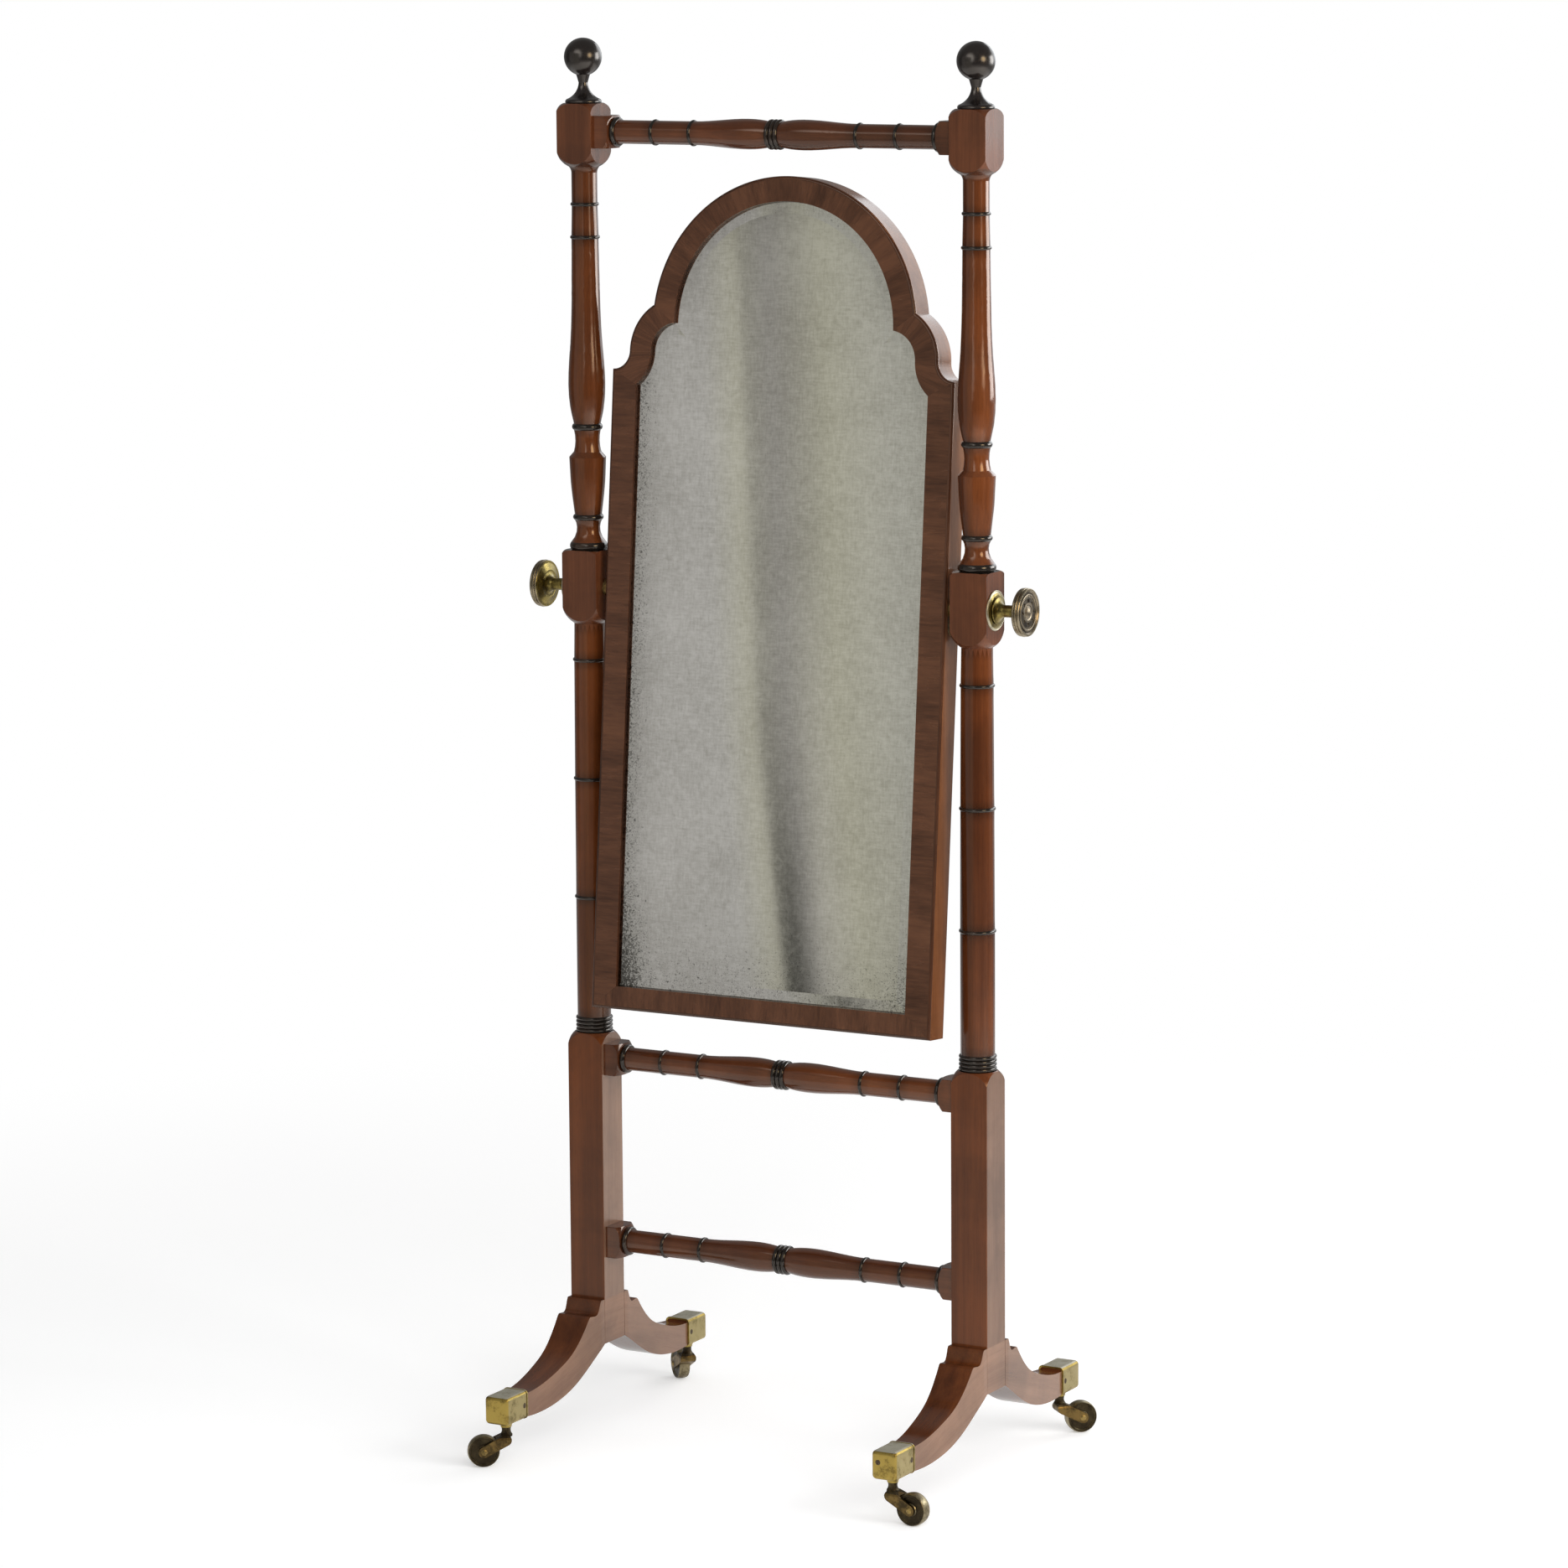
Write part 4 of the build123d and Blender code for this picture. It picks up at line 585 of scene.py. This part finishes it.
def bare_pine(name):
    """Unpolished pine: growth rings drawn out up the board, under dust."""
    finish, tree, surface = finish_named(name)
    growth = cloud(tree, placed(tree, stretch=(1, 1, 0.03)), 0.024, 4, 0.6, 0.8)
    fibre = cloud(tree, placed(tree, stretch=(1, 1, 0.02)), 0.003, 4, 0.7)
    dust = cloud(tree, placed(tree), 0.2, 4, 0.6, 0.3)
    grain = sum_of(tree, growth, 0.5, fibre, 0.5)
    tone = sum_of(tree, grain, 0.8, dust, 0.2)
    colour = graded(tree, tone, ((0.38, pine_dark), (0.5, pine_middle), (0.63, pine_light)))
    tree.links.new(colour, surface.inputs["Base Color"])
    dull = graded(tree, fibre, ((0.3, 0.62), (0.7, 0.8)))
    tree.links.new(dull, surface.inputs["Roughness"])
    surface.inputs["Specular IOR Level"].default_value = 0.25
    embossed(tree, surface, fibre, 0.3, 0.0002)
    return finish


old_pine = bare_pine("old_pine")
dress("backboard", old_pine)
dress("glazing_blocks", old_pine)
dress("backboard_screws", old_screw)

# Pivot plates
# Brass plates let into the stile edges and held by two screws,
# each with a boss that takes the end of a thumb screw.
plate_brass = patinated_brass("plate_brass", (0.45, 0.33, 0.13), (0.1, 0.065, 0.028), 0.5, 0.34)
for side in ("left", "right"):
    dress(f"{side}_pivot_plate", plate_brass)
dress("pivot_plate_screws", old_screw)

# Knobs and backplates
# Cast and turned brass thumb screws that run through the uprights and hold the mirror,
# over round plates on the outer faces. Fingers have rubbed the rims bright, and their pale colour is also a
# painted highlight.
olive_brass = patinated_brass("olive_brass", (0.27, 0.205, 0.06), (0.085, 0.064, 0.024), 0.45, 0.22)
# Pale rims: rubbed bright, and a painted highlight
plate_rim_highlight = patinated_brass("plate_rim_highlight", (0.5, 0.45, 0.33), (0.2, 0.17, 0.1), 0.35, 0.24)
knob_bronze = patinated_brass("knob_bronze", (0.235, 0.19, 0.13), (0.078, 0.06, 0.04), 0.45, 0.22)
knob_rim_highlight = patinated_brass("knob_rim_highlight", (0.3, 0.245, 0.16), (0.1, 0.078, 0.044), 0.35, 0.18)
knob_hollow = patinated_brass("knob_hollow", (0.06, 0.047, 0.03), (0.022, 0.017, 0.012), 0.6, 0.4)
post_across = 0.2475
pivot_height = 0.98095
disc_front = 0.0552
groove_floor = 0.0575
petal_floor = 0.0628
rim_inside = 0.0238
rim_groove = (0.0204, 0.0226)
petal_ring = (0.0085, 0.017)
plate_rim_inside = 0.0192


def from_pivot(place):
    """Distance of a place from the axis on which the mirror swings."""
    return (place.yz - Vector((0, pivot_height))).length


def knob_zone(place, way):
    """Slot of a face of a knob: olive stem, bronze disc, rim rubbed bright and painted with a highlight, or dark
    hollow.
    """
    out = abs(place.x) - post_across
    radius = from_pivot(place)
    if out < disc_front:
        return 0
    if radius > rim_inside:
        return 2
    hollow = within(radius, [rim_groove]) or (within(radius, [petal_ring]) and out < petal_floor)
    return 3 if hollow and out > groove_floor else 1


for side in ("left", "right"):
    backplate = dress(f"{side}_backplate", olive_brass, plate_rim_highlight)
    zoned(backplate, lambda place, way: from_pivot(place) > plate_rim_inside)
    zoned(dress(f"{side}_knob", olive_brass, knob_bronze, knob_rim_highlight, knob_hollow), knob_zone)

# Studio
# A white floor under three soft lights, from the right, the front and behind, which no shiny surface shows.
# What brass, polish and glass show is a dim room with two windows and a warm lamp,
# and a grey screen that stands where the mirror looks, with a soft fold of shade down it.
bpy.ops.mesh.primitive_plane_add(size=60, location=(0, 0, 0))
floor = bpy.context.object
floor.name = "floor"
floor_lift = 0.3
fade_start = 0.9
fade_end = 2.4
dim_start = 1.8
dim_end = 3.2
floor_white = (0.85, 0.85, 0.85)
floor_dim = (0.1, 0.1, 0.1)
floor_paint, floor_tree, floor_surface = finish_named("floor_paint")
floor_surface.inputs["Roughness"].default_value = 1.0
floor_surface.inputs["Specular IOR Level"].default_value = 0.0
floor_surface.inputs["Emission Color"].default_value = (1, 1, 1, 1)
floor_path = put(floor_tree, "ShaderNodeLightPath").outputs
far = put(floor_tree, "ShaderNodeVectorMath", operation="LENGTH")
floor_tree.links.new(placed(floor_tree), far.inputs[0])
far_off = far.outputs["Value"]
far_gloss = product(floor_tree, ranged(floor_tree, far_off, dim_start, dim_end), floor_path["Is Glossy Ray"])
floor_tone = laid_over(floor_tree, far_gloss, floor_white, floor_dim)
floor_tree.links.new(floor_tone, floor_surface.inputs["Base Color"])
lift = sum_of(floor_tree, floor_path["Is Camera Ray"], floor_lift, floor_path["Is Glossy Ray"], floor_lift)
floor_tree.links.new(lift, floor_surface.inputs["Emission Strength"])
white = put(floor_tree, "ShaderNodeEmission", Strength=1.0)
far_white = product(floor_tree, ranged(floor_tree, far_off, fade_start, fade_end), floor_path["Is Camera Ray"])
either_floor = put(floor_tree, "ShaderNodeMixShader")
floor_tree.links.new(far_white, either_floor.inputs[0])
floor_tree.links.new(floor_surface.outputs[0], either_floor.inputs[1])
floor_tree.links.new(white.outputs[0], either_floor.inputs[2])
floor_tree.links.new(either_floor.outputs[0], floor_tree.nodes["Material Output"].inputs["Surface"])
floor.data.materials.append(floor_paint)

world_level = 0.46
world = bpy.data.worlds.new("studio")
bpy.context.scene.world = world
world.use_nodes = True
world_tree = world.node_tree
background = world_tree.nodes["Background"]
background.inputs["Color"].default_value = (1, 1, 1, 1)
world_path = put(world_tree, "ShaderNodeLightPath").outputs
shown = sum_of(world_tree, world_path["Is Camera Ray"], 1, world_path["Is Glossy Ray"], 1)
shown = sum_of(world_tree, shown, 1, world_path["Is Transmission Ray"], 1)
world_tree.links.new(ranged(world_tree, shown, 0, 1, world_level, 1.0), background.inputs["Strength"])


def softbox(name, place, aim, width, height, power):
    """Rectangular soft light at a place, turned to an aim, that shiny surfaces don't show."""
    bpy.ops.object.light_add(type="AREA", location=place)
    lamp = bpy.context.object
    lamp.name = name
    lamp.data.shape = "RECTANGLE"
    lamp.data.size = width
    lamp.data.size_y = height
    lamp.data.energy = power
    lamp.rotation_euler = (Vector(aim) - Vector(place)).to_track_quat("-Z", "Y").to_euler()
    lamp.visible_glossy = False


softbox("side_light", (2.8, -0.3, 1.05), (0, 0, 0.65), 1.6, 2.0, 56)
softbox("fill_light", (2.2, -2.9, 2.3), (0, 0, 0.9), 3.0, 2.0, 76)
softbox("back_light", (0.9, 3.6, 2.3), (0, 0, 1.0), 3.2, 2.4, 60)


def shown_in_gloss(surround, emission_name):
    """Makes a surround that only glossy surfaces show; returns its emission and the tree."""
    surround.visible_camera = False
    surround.visible_diffuse = False
    surround.visible_shadow = False
    surround.visible_transmission = False
    paint = bpy.data.materials.new(emission_name)
    paint.use_nodes = True
    tree = paint.node_tree
    tree.nodes.remove(tree.nodes["Principled BSDF"])
    glow = put(tree, "ShaderNodeEmission", Strength=1.0)
    tree.links.new(glow.outputs[0], tree.nodes["Material Output"].inputs["Surface"])
    surround.data.materials.append(paint)
    return glow, tree


room_radius = 4.5
room_height = 0.8
wall_dim = 0.1
bpy.ops.mesh.primitive_uv_sphere_add(
    segments=48, ring_count=24, radius=room_radius, location=(0, 0, room_height)
)
room = bpy.context.object
room.name = "room"
bpy.ops.object.shade_smooth()
room_glow, room_tree = shown_in_gloss(room, "room_walls")
room_way = placed(room_tree, stretch=(1 / room_radius,) * 3)


def glow_toward(way, low, high, start=0.0, end=1.0):
    """Brightness of the room that grows toward a direction."""
    return ranged(room_tree, toward(room_tree, room_way, way), low, high, start, end)


lit_wall = glow_toward((0.49, 0.87, 0), 0.6, 0.95, wall_dim, 0.44)
far_wall = glow_toward((-0.6, 0.8, 0), 0.35, 0.9, end=0.14)
ceiling = glow_toward((0, 0, 1), 0.3, 0.8, end=0.12)
walls = sum_of(room_tree, lit_wall, 1, sum_of(room_tree, far_wall, 1, ceiling, 1), 1)
front_glow = glow_toward((-0.14, -0.9, 0.41), 0.85, 0.99, end=3.0)
lamp_share = glow_toward((0.9, -0.28, 0.33), 0.962, 0.992)
lamp_strength = 9
lamp_colour = (1, 0.76, 0.42)
glow_level = sum_of(room_tree, sum_of(room_tree, walls, 1, front_glow, 1), 1, lamp_share, lamp_strength)
room_tree.links.new(glow_level, room_glow.inputs["Strength"])
room_tree.links.new(laid_over(room_tree, lamp_share, (1, 1, 1), lamp_colour), room_glow.inputs["Color"])


def upright_sheet(name, foot, facing, width, height):
    """Standing sheet whose lower edge is centred on a foot point and whose front faces one way."""
    bpy.ops.mesh.primitive_plane_add(size=1)
    sheet = bpy.context.object
    sheet.name = name
    sheet.scale = (width, height, 1)
    bpy.ops.object.transform_apply(location=False, rotation=False, scale=True)
    sheet.location = Vector(foot) + Vector((0, 0, height / 2))
    sheet.rotation_euler = Vector(facing).to_track_quat("Z", "Y").to_euler()
    return sheet


window_sheet = upright_sheet("window_sheet", (0.65, 3.45, 1.1), (-0.18, -0.98, 0), 3.2, 2.4)
window_glow, window_tree = shown_in_gloss(window_sheet, "window_sky")
window_glow.inputs["Color"].default_value = (0.92, 0.96, 1.0, 1)
window_rise = toward(window_tree, placed(window_tree), (0, 1, 0))
window_level = ranged(window_tree, window_rise, -1.2, -0.4, 1.3, 2.6)
window_tree.links.new(window_level, window_glow.inputs["Strength"])
side_window = upright_sheet("side_window", (2.45, 2.06, 0.98), (-0.766, -0.643, 0), 1.6, 1.5)
side_glow = shown_in_gloss(side_window, "side_sky")[0]
side_glow.inputs["Color"].default_value = (0.94, 0.97, 1.0, 1)
side_glow.inputs["Strength"].default_value = 9

screen_way = Vector((-0.483, -0.8755, 0))
screen_distance = 2.0
screen_height = 2.4
screen = upright_sheet("grey_screen", screen_way * screen_distance, -screen_way, 2.6, screen_height)
cloth, cloth_tree = shown_in_gloss(screen, "screen_cloth")
fold_lean = 0.12
foot_lean = 0.065
fold_height = 0.85
fold_black = (0.02, 0.02, 0.02)
screen_spot = placed(cloth_tree, shift=(0, screen_height / 2 - fold_height, 0))
risen = toward(cloth_tree, screen_spot, (0, 1, 0))
below = put(cloth_tree, "ShaderNodeMath", operation="MINIMUM")
below.inputs[1].default_value = 0
cloth_tree.links.new(risen, below.inputs[0])
leaning = toward(cloth_tree, screen_spot, (-1, fold_lean, 0))
past_fold = sum_of(cloth_tree, leaning, 1, below.outputs[0], foot_lean)
fold_start = ranged(cloth_tree, past_fold, -0.008, 0.006)
fold_width = put(cloth_tree, "ShaderNodeMath", operation="DIVIDE")
cloth_tree.links.new(past_fold, fold_width.inputs[0])
cloth_tree.links.new(ranged(cloth_tree, risen, -0.42, 0.5, 0.068, 0.15), fold_width.inputs[1])
fold_end = ranged(cloth_tree, fold_width.outputs[0], 0.2, 1.0, 1.0, 0.0)
fold_depth = ranged(cloth_tree, risen, -0.42, 0.15, 0.88, 0.34)
fold = product(cloth_tree, product(cloth_tree, fold_depth, fold_start), fold_end)
cloth_waves = (
    (0.1, (0.455, 0.448, 0.448)),
    (0.36, (0.455, 0.45, 0.45)),
    (0.47, (0.49, 0.485, 0.42)),
    (0.6, (0.47, 0.46, 0.45)),
    (0.78, (0.48, 0.475, 0.4)),
    (0.95, (0.44, 0.44, 0.41)),
)
grey_cloth = graded(cloth_tree, ranged(cloth_tree, past_fold, -0.3, 0.3), cloth_waves)
cloth_tree.links.new(laid_over(cloth_tree, fold, grey_cloth, fold_black), cloth.inputs["Color"])
cloth_tree.links.new(ranged(cloth_tree, risen, 0.4, 0.85, 1.06, 0.91), cloth.inputs["Strength"])

# Camera
# The photograph's long lens, a little above the middle of the mirror and to its right.
camera_place = Vector((3.12526, -5.63750, 1.77835))
camera_right = Vector((0.875103, 0.483888, -0.006946))
camera_up = Vector((-0.068791, 0.138589, 0.987958))
camera_back = camera_right.cross(camera_up)
bpy.ops.object.camera_add(location=camera_place)
camera = bpy.context.object
camera.rotation_euler = Matrix((camera_right, camera_up, camera_back)).transposed().to_euler()
camera.data.sensor_width = 36
camera.data.lens = 133.383
camera.data.shift_x = 0.00198
camera.data.clip_end = 200
bpy.context.scene.camera = camera
bpy.context.scene.view_settings.view_transform = "Standard"
